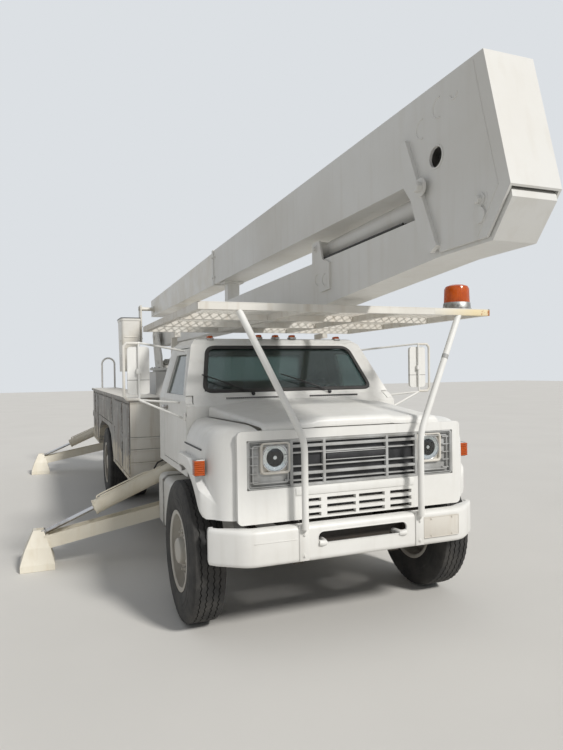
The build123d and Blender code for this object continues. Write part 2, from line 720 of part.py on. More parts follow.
SLOT_ROWS = (975, 925, 875)      # heights of the valance's louvres
SLOT_GROUPS = ((-420, -280), (-235, -10), (15, 225), (270, 450))


def front_panel():
    """The face round the grille, with the valance and its louvres under it."""
    back = FACE_Y + PANEL_DEPTH
    panel = block(-FACE_HALF, FACE_HALF, FACE_Y, back, BUMPER_TOP + 20, FACE_TOP - 52)
    panel = panel - block(-GRILLE_HALF, GRILLE_HALF, FACE_Y - 5, back + 5, GRILLE_BOTTOM, GRILLE_TOP)
    edges = panel.edges().filter_by(Axis.Y).group_by(Axis.X)
    panel = fillet(edges[0] + edges[-1], 34)
    for z in SLOT_ROWS:
        for low, high in SLOT_GROUPS:
            panel = panel - block(low, high, FACE_Y - 5, back + 5, z - 13, z + 13)
    for i in range(9):
        x = -420 + 105 * i
        panel = panel - block(x - 36, x + 36, FACE_Y - 5, back + 5, GRILLE_BOTTOM - 42, GRILLE_BOTTOM - 14)
    return panel


def grille():
    """The black insert: a ring, level bars and uprights in front of a dark back plate."""
    low, high = GRILLE_BOTTOM + SEAT, GRILLE_TOP - SEAT
    half = GRILLE_HALF - SEAT
    front, back = FACE_Y + 8, FACE_Y + 34
    body = block(-half, half, back - 4, back, low, high)
    ring = block(-half, half, front, back, low, high) - block(-half + 22, half - 22, front - 5, back + 5,
                                                            low + 16, high - 16)
    body = body + ring
    rows = 7
    for i in range(1, rows):
        z = low + (high - low) * i / rows
        thick = 9 if i % 2 == 0 else 5
        body = body + block(-half + 5, half - 5, front + 4, back, z - thick, z + thick)
    for x in (-496, -250, 0, 250, 496):
        body = body + block(x - 9, x + 9, front, back, low, high)
    for side in (-1, 1):
        half_lamp = BEZEL_HALF + SEAT
        body = body - block(side * LAMP_X - half_lamp, side * LAMP_X + half_lamp, front - 5, back + 5,
                            LAMP_Z - half_lamp, LAMP_Z + half_lamp)
    return body


def headlamp():
    """A square bezel with a round lamp behind its rim."""
    front, back = FACE_Y + 2, FACE_Y + PANEL_DEPTH
    bezel = block(LAMP_X - BEZEL_HALF, LAMP_X + BEZEL_HALF, front, back, LAMP_Z - BEZEL_HALF,
                  LAMP_Z + BEZEL_HALF)
    well = Pos(LAMP_X, front, LAMP_Z) * Rot(90, 0, 0) * Cylinder(LAMP_RADIUS + 6, 90)
    lens = Pos(LAMP_X, front + 16, LAMP_Z) * Rot(90, 0, 0) * Cylinder(LAMP_RADIUS, 16)
    rear = block(LAMP_X - BEZEL_HALF, LAMP_X + BEZEL_HALF, back - 14, back, LAMP_Z - BEZEL_HALF,
                 LAMP_Z + BEZEL_HALF)
    return joined(bezel - well, rear, lens)


def bumper_plan(inset):
    """The bumper's outline from above, straight in front and swept back at its ends."""
    points = [(-BUMPER_END, BUMPER_END_Y), (-BUMPER_KINK, BUMPER_Y), (BUMPER_KINK, BUMPER_Y), (BUMPER_END, BUMPER_END_Y),
              (BUMPER_END - 26, BUMPER_END_Y + 4)]
    inner = [(BUMPER_KINK - 8, BUMPER_Y + inset), (-BUMPER_KINK + 8, BUMPER_Y + inset), (-BUMPER_END + 26, BUMPER_END_Y + 4)]
    return make_face(Polyline(*[(x, y, 0) for x, y in points + inner], close=True))


def bumper():
    """A bent steel plate with turned edges and a long slot for the tow hooks."""
    height = BUMPER_TOP - BUMPER_BOTTOM
    plate = Pos(0, 0, BUMPER_BOTTOM) * extrude(bumper_plan(BUMPER_WALL), amount=height, dir=(0, 0, 1))
    edge = Pos(0, 0, BUMPER_BOTTOM) * extrude(bumper_plan(58), amount=12, dir=(0, 0, 1))
    slot = block(-SLOT_HALF, SLOT_HALF, BUMPER_Y - 20, BUMPER_Y + 40, SLOT_Z - SLOT_HEIGHT / 2,
                 SLOT_Z + SLOT_HEIGHT / 2)
    slot = fillet(slot.edges().filter_by(Axis.Y), SLOT_HEIGHT / 2 - 1)
    bracket = RAIL_OUTSIDE - RAIL_FLANGE / 2
    body = joined(plate, edge)
    for side in (-1, 1):
        body = body - block(side * bracket - 40, side * bracket + 40, BUMPER_Y + BUMPER_WALL,
                            BUMPER_Y + 120, BUMPER_BOTTOM + 30, BUMPER_TOP + 5)
    return body - slot


def guard_tube():
    """One bent tube from the bumper up to the rack's front beam, with its foot plate."""
    y = BUMPER_Y - TUBE_RADIUS - 6
    bend = (TUBE_X, y, TUBE_BEND_Z)
    top = (TUBE_TOP_X, RACK_FRONT + RACK_BEAM / 2, RACK_TOP - RACK_BEAM - SEAT)
    low = bar((TUBE_X, y, BUMPER_BOTTOM + 15), bend, TUBE_RADIUS)
    high = bar(bend, top, TUBE_RADIUS)
    keep = block(0, 2000, -2000, 2000, 0, RACK_TOP - RACK_BEAM - SEAT)
    high = bar(bend, (top[0] + 12, top[1], top[2] + 25), TUBE_RADIUS) & keep
    foot = block(TUBE_X - 34, TUBE_X + 34, BUMPER_Y - 10, BUMPER_Y - SEAT, BUMPER_BOTTOM + 15,
                 BUMPER_TOP - 25)
    return joined(low, Pos(*bend) * Sphere(TUBE_RADIUS), high, foot)


def rack():
    """The rack's beams over the cab, with its rear posts and their sill on the frame."""
    low, high = RACK_TOP - RACK_BEAM, RACK_TOP
    body = None
    for y in (RACK_FRONT, -30, 720, RACK_REAR - RACK_BEAM):
        piece = block(-RACK_HALF, RACK_HALF, y, y + RACK_BEAM, low, high)
        body = piece if body is None else body + piece
    for x in (-RACK_HALF, -400, 400 - RACK_BEAM, RACK_HALF - RACK_BEAM):
        body = body + block(x, x + RACK_BEAM, RACK_FRONT, RACK_REAR, low, high)
    for side in (-1, 1):
        x0, x1 = sorted((side * 780, side * 835))
        body = body + block(x0, x1, RACK_POST_Y - 60, RACK_POST_Y, RAIL_TOP + 20, low)
        body = body + block(x0, x1, RACK_REAR - RACK_BEAM, RACK_POST_Y, low - 50, low)
    sill = block(-860, 860, RACK_POST_Y - 65, RACK_POST_Y + 5, RAIL_TOP + SEAT, RAIL_TOP + 60)
    return body + sill


DECK_CELLS = 8          # openings each way in the mesh deck's plain grid
DECK_RIB = 30


def rack_deck():
    """The expanded-metal deck, drawn as a plain grid on the beams, closed under the beacon."""
    low, high = RACK_TOP + SEAT, RACK_TOP + 6
    deck = block(-RACK_HALF, RACK_HALF, RACK_FRONT, RACK_REAR, low, high)
    wide = 2 * RACK_HALF / DECK_CELLS
    long = (RACK_REAR - RACK_FRONT) / DECK_CELLS
    for i in range(DECK_CELLS):
        for j in range(DECK_CELLS):
            x, y = -RACK_HALF + i * wide, RACK_FRONT + j * long
            if j == 0 and i >= DECK_CELLS - 2:
                continue
            deck = deck - block(x + DECK_RIB / 2, x + wide - DECK_RIB / 2, y + DECK_RIB / 2,
                                y + long - DECK_RIB / 2, low - 5, high + 5)
    return deck


BEACON_X = RACK_HALF - 210
BEACON_RADIUS = 112
BEACON_HEIGHT = 195


def lamps():
    """The roof's marker lamps, the side lamps and the beacon on the rack."""
    pieces = []
    roof_front = SCREEN_TOP_Y + 62
    for x in (-640, -170, 0, 170, 640):
        base = block(x - 26, x + 26, roof_front, roof_front + 70, ROOF_Z - 14, ROOF_Z + 26)
        pieces.append(base - cab_solid(0))
    for side in (-1, 1):
        x0, x1 = sorted((side * (FENDER_HALF + SEAT), side * (FENDER_HALF + 34)))
        pieces.append(block(x0, x1, -500, -420, LAMP_Z - 95, LAMP_Z - 30))
    y = RACK_FRONT + BEACON_RADIUS + 10
    z = RACK_TOP + 6 + SEAT
    beacon = Pos(BEACON_X, y, z + BEACON_HEIGHT / 2) * Cylinder(BEACON_RADIUS, BEACON_HEIGHT)
    pieces.append(fillet(beacon.edges().filter_by(GeomType.CIRCLE).group_by(Axis.Z)[-1], 20))
    return loose(*pieces)


TANK_OUTER = 975
TANK_INNER = 500
TANK_FRONT = 650
TANK_REAR = 1690
TANK_BOTTOM = 330
TANK_TOP = 850


def side_tank():
    """A step tank hung beside the rail, with rounded edges and its hangers."""
    tank = block(TANK_INNER, TANK_OUTER, TANK_FRONT, TANK_REAR, TANK_BOTTOM, TANK_TOP)
    tank = fillet(tank.edges().filter_by(Axis.Y), 70)
    for y in (TANK_FRONT + 180, TANK_REAR - 180):
        tank = tank + block(RAIL_OUTSIDE + SEAT, TANK_INNER + 40, y - 30, y + 30, 720, 800)
    return tank


# Service body
def arch_outline():
    """The wheel arch through the service body, from the side."""
    half, top = BODY_ARCH_HALF, BODY_ARCH_TOP
    return [(WHEELBASE - half, BODY_BOTTOM - 50), (WHEELBASE - half, BODY_BOTTOM + 60),
            (WHEELBASE - half * 0.75, top - 90), (WHEELBASE - half * 0.45, top),
            (WHEELBASE + half * 0.45, top), (WHEELBASE + half * 0.75, top - 90),
            (WHEELBASE + half, BODY_BOTTOM + 60), (WHEELBASE + half, BODY_BOTTOM - 50)]


BIN_DOORS = (           # y from, y to, z from, z to
    (BODY_FRONT + 40, BODY_FRONT + 640, BODY_BOTTOM + 40, BODY_TOP - 60),
    (BODY_FRONT + 690, BODY_FRONT + 1500, BODY_BOTTOM + 40, BODY_TOP - 60),
    (WHEELBASE - 1060, WHEELBASE + 1060, BODY_ARCH_TOP + 60, BODY_TOP - 60),
    (BODY_REAR - 1050, BODY_REAR - 560, BODY_BOTTOM + 40, BODY_TOP - 60),
    (BODY_REAR - 510, BODY_REAR - 40, BODY_BOTTOM + 40, BODY_TOP - 60),
)
DOOR_GROOVE = 10
LID_LIP = 26


def bin_side():
    """One row of closed bins with its door seams, wheel arch and overhanging top."""
    inner = BODY_HALF - BIN_DEPTH
    outer = BODY_HALF - LID_LIP
    row = block(inner, outer, BODY_FRONT + 20, BODY_REAR - 10, BODY_BOTTOM, BODY_TOP - 34)
    row = row - side_shape(arch_outline(), inner - 10, BODY_HALF + 10)
    for y0, y1, z0, z1 in BIN_DOORS:
        seam = block(outer - 14, outer + 5, y0, y1, z0, z1)
        seam = seam - block(outer - 20, outer + 10, y0 + DOOR_GROOVE, y1 - DOOR_GROOVE, z0 + DOOR_GROOVE,
                            z1 - DOOR_GROOVE)
        row = row - (seam & block(inner, outer + 10, y0, y1, z0, z1))
    lid = block(inner, BODY_HALF, BODY_FRONT, BODY_REAR, BODY_TOP - 34, BODY_TOP)
    return row + lid


TAIL_REAR = 7600
SILL_YS = (2150, 3000, 3850, 5300, 6700, 7450)


TREAD_PLATE = 5


def deck():
    """The load floor on its sills, with the bulkhead in front and the step at the tail."""
    inner = BODY_HALF - BIN_DEPTH - SEAT
    floor = block(-inner, inner, BODY_FRONT + 20, BODY_REAR, DECK_Z - DECK_THICK, DECK_Z)
    tail = block(-BODY_HALF + 60, BODY_HALF - 60, BODY_REAR, TAIL_REAR, DECK_Z - DECK_THICK, DECK_Z)
    body = floor + tail
    for y in SILL_YS:
        half = inner if y < BODY_REAR else BODY_HALF - 100
        body = body + block(-half, half, y - 40, y + 40, RAIL_TOP + SEAT, DECK_Z - DECK_THICK)
    bulkhead = block(-inner, inner, BODY_FRONT + 20, BODY_FRONT + 60, DECK_Z, BODY_TOP)
    body = body + bulkhead
    hole = PEDESTAL_HALF + SEAT
    body = body - block(-hole, hole, TURRET_Y - hole, TURRET_Y + hole, RAIL_TOP, DECK_Z + 10)
    tread = block(-inner + 40, inner - 40, BODY_FRONT + 100, TURRET_Y - hole - 60, DECK_Z - 1,
                  DECK_Z + TREAD_PLATE)
    return body + tread


HOOP_RADIUS = 17
HOOP_Y = 7480
HOOP_TOP = 2150


def hoop(x0, x1, y):
    """A grab hoop: two legs under a half-round top."""
    radius = (x1 - x0) / 2
    middle = (x0 + x1) / 2
    foot, bend = DECK_Z + SEAT, HOOP_TOP - radius
    path = Line((x0, y, foot), (x0, y, bend)) + ThreePointArc((x0, y, bend), (middle, y, bend + radius), (x1, y, bend))
    path = path + Line((x1, y, bend), (x1, y, foot))
    profile = Plane(origin=(x0, y, foot), z_dir=(0, 0, 1)) * Circle(HOOP_RADIUS)
    tube = sweep(profile, path=path)
    plates = [block(x - 40, x + 40, y - 40, y + 40, foot, foot + 8) for x in (x0, x1)]
    return joined(tube, *plates)


def tail_rails():
    """The grab hoops at the tail and the ladder under it."""
    pieces = [hoop(-1020, -790, HOOP_Y), hoop(790, 1020, HOOP_Y)]
    y = TAIL_REAR + 40
    ladder = None
    for x in (-220, 220):
        rail_piece = block(x - 14, x + 14, y - 20, y + 20, 420, DECK_Z)
        ladder = rail_piece if ladder is None else ladder + rail_piece
        ladder = ladder + block(x - 14, x + 14, TAIL_REAR + SEAT, y, DECK_Z - 38, DECK_Z - 6)
    for i in range(3):
        z = 450 + 230 * i
        ladder = ladder + block(-220, 220, y - 20, y + 20, z - 12, z + 12)
    pieces.append(ladder)
    return loose(*pieces)


# Pedestal and turret
CENTRE_PIN = 110


def pedestal():
    """The box pedestal on the rails, with its flange and the bearing ring."""
    half = PEDESTAL_HALF
    y = TURRET_Y
    tower = block(-half, half, y - half, y + half, RAIL_TOP + SEAT, PEDESTAL_TOP)
    flange = block(-RAIL_OUTSIDE, RAIL_OUTSIDE, y - half - 60, y + half + 60, RAIL_TOP + SEAT, RAIL_TOP + 30)
    inside = block(-half + 14, half - 14, y - half + 14, y + half - 14, RAIL_TOP - 10, PEDESTAL_TOP - 60)
    ring = Pos(0, y, (PEDESTAL_TOP + TURNTABLE_Z - SEAT) / 2) * Cylinder(
        PEDESTAL_HALF - 10, TURNTABLE_Z - SEAT - PEDESTAL_TOP)
    body = joined(tower, flange, ring) - inside
    return body - Pos(0, y, PEDESTAL_TOP) * Cylinder(CENTRE_PIN + RUNNING, 200)


LIFT_BASE = (5900, 2040)        # y, z of the lift cylinder's pin on the turret
LIFT_EYE = (4650, 2280)         # y, z of its rod's eye under the lower boom
LIFT_PIN = 30


def turret():
    """The turntable, its two cheeks, the boom's pin and the lift cylinder's pin."""
    y = TURRET_Y
    top = TURNTABLE_Z + TURNTABLE_THICK
    disc = Pos(0, y, TURNTABLE_Z + TURNTABLE_THICK / 2) * Cylinder(TURNTABLE_RADIUS, TURNTABLE_THICK)
    stub = Pos(0, y, TURNTABLE_Z - 30) * Cylinder(CENTRE_PIN, 80)
    outline = [(y - 290, top - 5), (y - 250, top + 200), (PIVOT_Y - 190, PIVOT_Z + 150),
               (PIVOT_Y + 110, PIVOT_Z + 150), (PIVOT_Y + 190, PIVOT_Z + 40), (y + 330, top + 60),
               (y + 280, top - 5)]
    body = disc + stub
    for side in (-1, 1):
        x0, x1 = sorted((side * CHEEK_X, side * (CHEEK_X + CHEEK_WALL)))
        body = body + side_shape(outline, x0, x1)
    web = block(-CHEEK_X - 5, CHEEK_X + 5, y + 230, y + 250, top - 5, top + 120)
    body = body + web
    outside = CHEEK_X + CHEEK_WALL + 16
    body = body + x_pin(PIVOT_Y, PIVOT_Z, -outside, outside, PIVOT_PIN)
    return body + x_pin(LIFT_BASE[0], LIFT_BASE[1], -outside, outside, LIFT_PIN)


def eye(y, z, half_width, radius, bore):
    """A round eye on an X axis with its bore."""
    return x_pin(y, z, -half_width, half_width, radius) - x_pin(y, z, -half_width - 5, half_width + 5,
                                                               bore + RUNNING)


def along(base, tip, distance):
    """The (y, z) point at a distance from the base on the line to the tip."""
    length = math.dist(base, tip)
    share = distance / length
    return (base[0] + (tip[0] - base[0]) * share, base[1] + (tip[1] - base[1]) * share)


def cylinder_barrel(base, tip, length, radius, rod_radius, pin, eye_half):
    """A boom cylinder's barrel: its base eye, tube and gland, bored for the rod."""
    start, end, bore_from = along(base, tip, pin + 14), along(base, tip, length), along(base, tip, 130)
    tube = bar((0, *start), (0, *end), radius)
    gland = bar((0, *along(base, tip, length - 60)), (0, *end), radius + 5)
    lug = x_pin(base[0], base[1], -eye_half, eye_half, pin + 24)
    body = joined(tube, gland, lug)
    body = body - x_pin(base[0], base[1], -eye_half - 20, eye_half + 20, pin + RUNNING)
    return body - bar((0, *bore_from), (0, *along(base, tip, length + 20)), rod_radius + RUNNING)


def cylinder_rod(base, tip, inner_end, radius, eye_radius, eye_half):
    """A boom cylinder's rod with its eye and short pin."""
    rod = bar((0, *along(base, tip, inner_end)), (0, *tip), radius)
    return joined(rod, x_pin(tip[0], tip[1], -eye_half, eye_half, eye_radius))


# Booms
def box_tube(sections, wall, open_start=True, open_end=True):
    """A hollow box beam along Y from sections of (y, half-width, bottom, top)."""
    def loft_through(shrink, ends):
        faces = []
        for y, half, low, high in ends:
            plane = Plane(origin=(0, y, (low + high) / 2), x_dir=(1, 0, 0), z_dir=(0, -1, 0))
            faces.append(plane * Rectangle(2 * (half - shrink), high - low - 2 * shrink))
        return loft(faces, ruled=True)
    outer = loft_through(0, sections)
    inner_rows = [list(row) for row in sections]
    if not open_start:
        inner_rows[0][0] += wall
    if not open_end:
        inner_rows[-1][0] -= wall
    return outer - loft_through(wall, inner_rows)


BOOM_WALL = 12
LOWER_REAR = 6440
BRACKET_Y = -394        # the elbow cylinder's pin on the lower boom
BRACKET_Z = 2775
REST_POST_Y = 2250
LIFT_LUG_INNER = 46


def lower_boom():
    """The lower boom: its tapered box, nose, pivot boss, brackets and the upper boom's rest."""
    sections = [(-1900, LOWER_HALF, LOWER_NOSE_BOTTOM, LOWER_TOP_FRONT),
                (-500, LOWER_HALF, LOWER_BOTTOM + 10, LOWER_TOP_FRONT - 10),
                (LOWER_REAR, LOWER_HALF, LOWER_BOTTOM, LOWER_TOP_REAR)]
    body = box_tube(sections, BOOM_WALL)
    q_y, q_z = ELBOW_Y, ELBOW_Z
    nose = [(-1890, LOWER_NOSE_BOTTOM), (-1890, LOWER_TOP_FRONT), (q_y - 140, LOWER_TOP_FRONT),
            (q_y - 185, q_z + 70), (q_y - 190, q_z + 40), (q_y - 62, LOWER_NOSE_BOTTOM + 4)]
    inner = [(-1880, LOWER_NOSE_BOTTOM + 12), (-1880, LOWER_TOP_FRONT - 12), (q_y - 134, LOWER_TOP_FRONT - 12),
             (q_y - 172, q_z + 62), (q_y - 176, q_z + 46), (q_y - 58, LOWER_NOSE_BOTTOM + 16)]
    head = side_shape(nose, -LOWER_HALF, LOWER_HALF) - side_shape(inner, -LOWER_HALF + 12, LOWER_HALF - 12)
    body = body + head
    body = body + x_pin(q_y, q_z, -LOWER_HALF, LOWER_HALF, ELBOW_PIN + 30)
    body = body - x_pin(q_y, q_z, -LOWER_HALF - 5, LOWER_HALF + 5, ELBOW_PIN + RUNNING)
    for side in (-1, 1):
        x0, x1 = sorted((side * (LOWER_HALF - 2), side * (LOWER_HALF + 14)))
        plate = side_shape([(BRACKET_Y - 225, 2450), (BRACKET_Y - 80, 2440), (BRACKET_Y + 70, 2560),
                            (BRACKET_Y + 62, BRACKET_Z + 50), (BRACKET_Y - 62, BRACKET_Z + 50),
                            (BRACKET_Y - 110, 2680), (BRACKET_Y - 225, 2640)], x0, x1)
        body = body + plate
    body = body + x_pin(BRACKET_Y, BRACKET_Z, -LOWER_HALF - 14, LOWER_HALF + 14, LIFT_PIN)
    for side in (-1, 1):
        x0, x1 = sorted((side * LIFT_LUG_INNER, side * (LIFT_LUG_INNER + 20)))
        lug = side_shape([(LIFT_EYE[0] - 90, LOWER_BOTTOM + 8), (LIFT_EYE[0] - 50, LIFT_EYE[1] - 50),
                          (LIFT_EYE[0] + 50, LIFT_EYE[1] - 50), (LIFT_EYE[0] + 90, LOWER_BOTTOM + 8)], x0, x1)
        body = body + lug
    boss_half = CHEEK_X - MOVING_GAP / 2
    body = body + x_pin(PIVOT_Y, PIVOT_Z, -boss_half, boss_half, PIVOT_PIN + 40)
    body = body - x_pin(PIVOT_Y, PIVOT_Z, -boss_half - 5, boss_half + 5, PIVOT_PIN + RUNNING)
    post_top = upper_bottom(REST_POST_Y - 90) - SEAT
    post = block(-70, 70, REST_POST_Y - 60, REST_POST_Y + 60, LOWER_TOP_REAR - 4, post_top - 20)
    pad = block(-110, 110, REST_POST_Y - 90, REST_POST_Y + 90, post_top - 24, post_top)
    return joined(body, post, pad)


KNUCKLE_NOSE = (-2444, 2672)
KNUCKLE_TOP = (-2277, 3339)
KNUCKLE_CHIN = (-2288, 2470)
KNUCKLE_HEEL = (-1931, 2466)
KNUCKLE_THROAT = (-1600, 2885)
STEEL_TOP_END = 3305
STEEL_BOTTOM_END = 2905
TIP_TOP = 3236
TIP_BOTTOM = 2930


def upper_bottom(y):
    """The height of the upper boom's underside at a place on Y."""
    share = (y - KNUCKLE_THROAT[0]) / (STEEL_END_Y - KNUCKLE_THROAT[0])
    return KNUCKLE_THROAT[1] + (STEEL_BOTTOM_END - KNUCKLE_THROAT[1]) * share


def upper_boom_steel():
    """The upper boom's steel part: its box, the knuckle's side plates and the front plate."""
    end = STEEL_END_Y
    outline = [KNUCKLE_TOP, KNUCKLE_NOSE, KNUCKLE_CHIN, KNUCKLE_HEEL, KNUCKLE_THROAT,
               (end, STEEL_BOTTOM_END), (end, STEEL_TOP_END)]
    w = UPPER_WALL
    solid = side_shape(outline, -UPPER_HALF, UPPER_HALF)
    cut = [(KNUCKLE_TOP[0] + w, KNUCKLE_TOP[1] - w), (KNUCKLE_NOSE[0] + w, KNUCKLE_NOSE[1] - 2),
           (KNUCKLE_NOSE[0] - 40, KNUCKLE_NOSE[1] - 60), (KNUCKLE_CHIN[0] - 40, KNUCKLE_CHIN[1] - 60),
           (KNUCKLE_HEEL[0] + 60, KNUCKLE_HEEL[1] - 60), (KNUCKLE_THROAT[0] + 20, KNUCKLE_THROAT[1] - 20),
           (KNUCKLE_THROAT[0] + 20, KNUCKLE_THROAT[1] + w), (end + 20, STEEL_BOTTOM_END + w),
           (end + 20, STEEL_TOP_END - w)]
    body = solid - side_shape(cut, -UPPER_HALF + w, UPPER_HALF - w)
    collar_half = UPPER_HALF + 8
    collar = block(-collar_half, collar_half, end - 70, end, STEEL_BOTTOM_END - 8, STEEL_TOP_END + 8)
    collar = collar - block(-UPPER_HALF + w, UPPER_HALF - w, end - 90, end + 10, STEEL_BOTTOM_END + w + 2,
                            STEEL_TOP_END - w - 2)
    body = body + collar
    body = body + x_pin(ELBOW_Y, ELBOW_Z, -UPPER_HALF - 12, UPPER_HALF + 12, ELBOW_PIN)
    for side in (-1, 1):
        x0, x1 = sorted((side * (UPPER_HALF - 2), side * (UPPER_HALF + 26)))
        strap = side_shape([(-1590, 3120), (-1660, 3130), (-1935, 2500), (-1880, 2470), (-1810, 2500)], x0, x1)
        body = body + strap
        low, high = sorted((side * (UPPER_HALF - 30), side * (UPPER_HALF + 5)))
        body = body - x_pin(-1907, 2962, low, high, 52)
    return body


def upper_boom_insulated():
    """The upper boom's insulated part, a slim hollow beam closed at the tip."""
    sections = [(STEEL_END_Y + SEAT, UPPER_HALF - 17, STEEL_BOTTOM_END + 4, STEEL_TOP_END - 4),
                (TIP_Y, TIP_HALF, TIP_BOTTOM, TIP_TOP)]
    tube = box_tube(sections, 14, open_end=False)
    bush = x_pin(BUCKET_Y, BUCKET_PIVOT_Z, -TIP_HALF - 14, TIP_HALF + 14, 62)
    bore = x_pin(BUCKET_Y, BUCKET_PIVOT_Z, -TIP_HALF - 40, TIP_HALF + 40, 34 + RUNNING)
    return (tube + bush) - bore


# Buckets
def bucket(side):
    """One open-topped bucket, wider at its rim, with steps pressed in its side."""
    x = side * (BUCKET_INNER_X + BUCKET_WIDTH / 2)
    low = BUCKET_TOP - BUCKET_HEIGHT

    def form(shrink, floor):
        faces = []
        for z, width, length in ((low + floor, BUCKET_WIDTH - 50, BUCKET_LENGTH - 70),
                                 (BUCKET_TOP + (5 if shrink else 0), BUCKET_WIDTH - 16, BUCKET_LENGTH - 16)):
            plane = Plane(origin=(x, BUCKET_Y, z))
            faces.append(plane * RectangleRounded(width - 2 * shrink, length - 2 * shrink, 50 - shrink))
        return loft(faces, ruled=True)
    rim_plane = Plane(origin=(x, BUCKET_Y, BUCKET_TOP - 40))
    lip = extrude(rim_plane * RectangleRounded(BUCKET_WIDTH, BUCKET_LENGTH, 55), amount=40)
    body = form(0, 0) + lip
    return body - form(BUCKET_WALL, BUCKET_WALL)


SHAFT_RADIUS = 34


def buckets():
    """Both buckets on the shaft through the boom's tip, each hung on its bracket."""
    reach = BUCKET_INNER_X - 4
    body = x_pin(BUCKET_Y, BUCKET_PIVOT_Z, -reach, reach, SHAFT_RADIUS)
    for side in (-1, 1):
        x0, x1 = sorted((side * (BUCKET_INNER_X - 50), side * (BUCKET_INNER_X - 22)))
        arm = block(x0, x1, BUCKET_Y - 110, BUCKET_Y + 110, BUCKET_TOP - 420, BUCKET_PIVOT_Z + 60)
        x2, x3 = sorted((side * (BUCKET_INNER_X - 40), side * (BUCKET_INNER_X + 26)))
        foot = block(x2, x3, BUCKET_Y - 90, BUCKET_Y + 90, BUCKET_TOP - 40, BUCKET_TOP - 6)
        shelf = block(x2, x3, BUCKET_Y - 90, BUCKET_Y + 90, BUCKET_TOP - 410, BUCKET_TOP - 380)
        keep = bucket(side)
        body = joined(body, arm, foot, shelf, keep)
        x = side * (BUCKET_INNER_X + BUCKET_WIDTH / 2)
        plane = Plane(origin=(x, BUCKET_Y, BUCKET_TOP - 500))
        space = extrude(plane * RectangleRounded(BUCKET_WIDTH - 50 - 2 * BUCKET_WALL,
                                                 BUCKET_LENGTH - 60 - 2 * BUCKET_WALL, 38), amount=600)
        body = body - space
    return body


# Stands
PLATE_INNER = LEG_HALF + MOVING_GAP
PLATE_WALL = 20
FOOT_PIN_X = 2086
FOOT_PIN_Z = 324


def stand_mount(y):
    """The cross box and the paired plates that carry one pair of stands."""
    low, high = STAND_ROOT_Z - 90, RAIL_TOP - RAIL_DEPTH - SEAT
    half = STAND_ROOT_X - 95
    body = block(-half, half, y - PLATE_INNER, y + PLATE_INNER, low, high - 40)
    for side in (-1, 1):
        rail_x = side * SPRING_X
        body = body + block(rail_x - 38, rail_x + 38, y - PLATE_INNER, y + PLATE_INNER, high - 45, high)
        outline = [(440, low), (STAND_ROOT_X + 60, low), (STAND_ROOT_X + 70, STAND_ROOT_Z + 50),
                   (JACK_ROOT_X + 70, JACK_ROOT_Z - 20), (JACK_ROOT_X + 40, JACK_ROOT_Z + 60),
                   (JACK_ROOT_X - 60, JACK_ROOT_Z + 60), (440, JACK_ROOT_Z - 150)]
        points = [(side * x, z) for x, z in outline]
        for y0 in (y - PLATE_INNER - PLATE_WALL, y + PLATE_INNER):
            body = body + front_shape(points, y0, y0 + PLATE_WALL)
        for x, z in ((side * STAND_ROOT_X, STAND_ROOT_Z), (side * JACK_ROOT_X, JACK_ROOT_Z)):
            reach = PLATE_INNER + PLATE_WALL
            body = body + bar((x, y - reach, z), (x, y + reach, z), STAND_PIN)
    return body


def y_eye(x, y, z, half, radius):
    """A round boss along Y."""
    return bar((x, y - half, z), (x, y + half, z), radius)


def leg_part(y, root, tip, start, stop, half, rise=0, depth=LEG_DEPTH):
    """A straight part of the leg between two distances from its root, or a cut above its middle."""
    run = math.hypot(tip[0] - root[0], tip[2] - root[2])
    along_x, along_z = (tip[0] - root[0]) / run, (tip[2] - root[2]) / run
    ends = [(root[0] + along_x * distance - along_z * rise, y, root[2] + along_z * distance + along_x * rise)
            for distance in (start, run + stop)]
    return beam(*ends, 2 * half, depth, side=(0, 1, 0))


def stand_leg(y):
    """The left stand's box leg with its root eye and the bell-shaped foot."""
    root, tip = (STAND_ROOT_X, y, STAND_ROOT_Z), (FOOT_PIN_X - 20, y, STAND_TIP_Z)
    narrow = leg_part(y, root, tip, 0, 0, LEG_HALF)
    wide = leg_part(y, root, tip, TROUGH_START, 0, TROUGH_HALF)
    trough = leg_part(y, root, tip, TROUGH_START + 40, -40, TROUGH_HALF - LEG_WALL,
                      LEG_WALL / 2 + 20, LEG_DEPTH - LEG_WALL + 40)
    leg = joined(narrow, wide, y_eye(*root, LEG_HALF, LEG_DEPTH / 2)) - trough
    foot_outline = [(FOOT_X - FOOT_HALF, 0), (FOOT_X - FOOT_HALF, 60), (FOOT_X - 120, 190),
                    (FOOT_X - 55, FOOT_HEIGHT), (FOOT_X + 35, FOOT_HEIGHT), (FOOT_X + 110, 200),
                    (FOOT_X + FOOT_HALF, 60), (FOOT_X + FOOT_HALF, 0)]
    side_outline = [(y - FOOT_HALF, 0), (y - FOOT_HALF, 60), (y - 120, 210), (y - 55, FOOT_HEIGHT),
                    (y + 55, FOOT_HEIGHT), (y + 120, 210), (y + FOOT_HALF, 60), (y + FOOT_HALF, 0)]
    foot = front_shape(foot_outline, y - 200, y + 200)
    foot = foot & side_shape(side_outline, FOOT_X - 200, FOOT_X + 200)
    leg = leg + foot
    slot = block(FOOT_PIN_X - 140, FOOT_PIN_X + 60, y - 34, y + 34, FOOT_PIN_Z - 62, FOOT_HEIGHT + 60)
    leg = leg - slot
    return leg - bar((STAND_ROOT_X, y - 100, STAND_ROOT_Z), (STAND_ROOT_X, y + 100, STAND_ROOT_Z),
                     STAND_PIN + RUNNING)


JACK_BARREL = 985


def jack_point(y, distance):
    """A point on the stand's jack, at a distance from its root pin."""
    dx, dz = FOOT_PIN_X - JACK_ROOT_X, FOOT_PIN_Z - JACK_ROOT_Z
    length = math.hypot(dx, dz)
    return (JACK_ROOT_X + dx * distance / length, y, JACK_ROOT_Z + dz * distance / length)


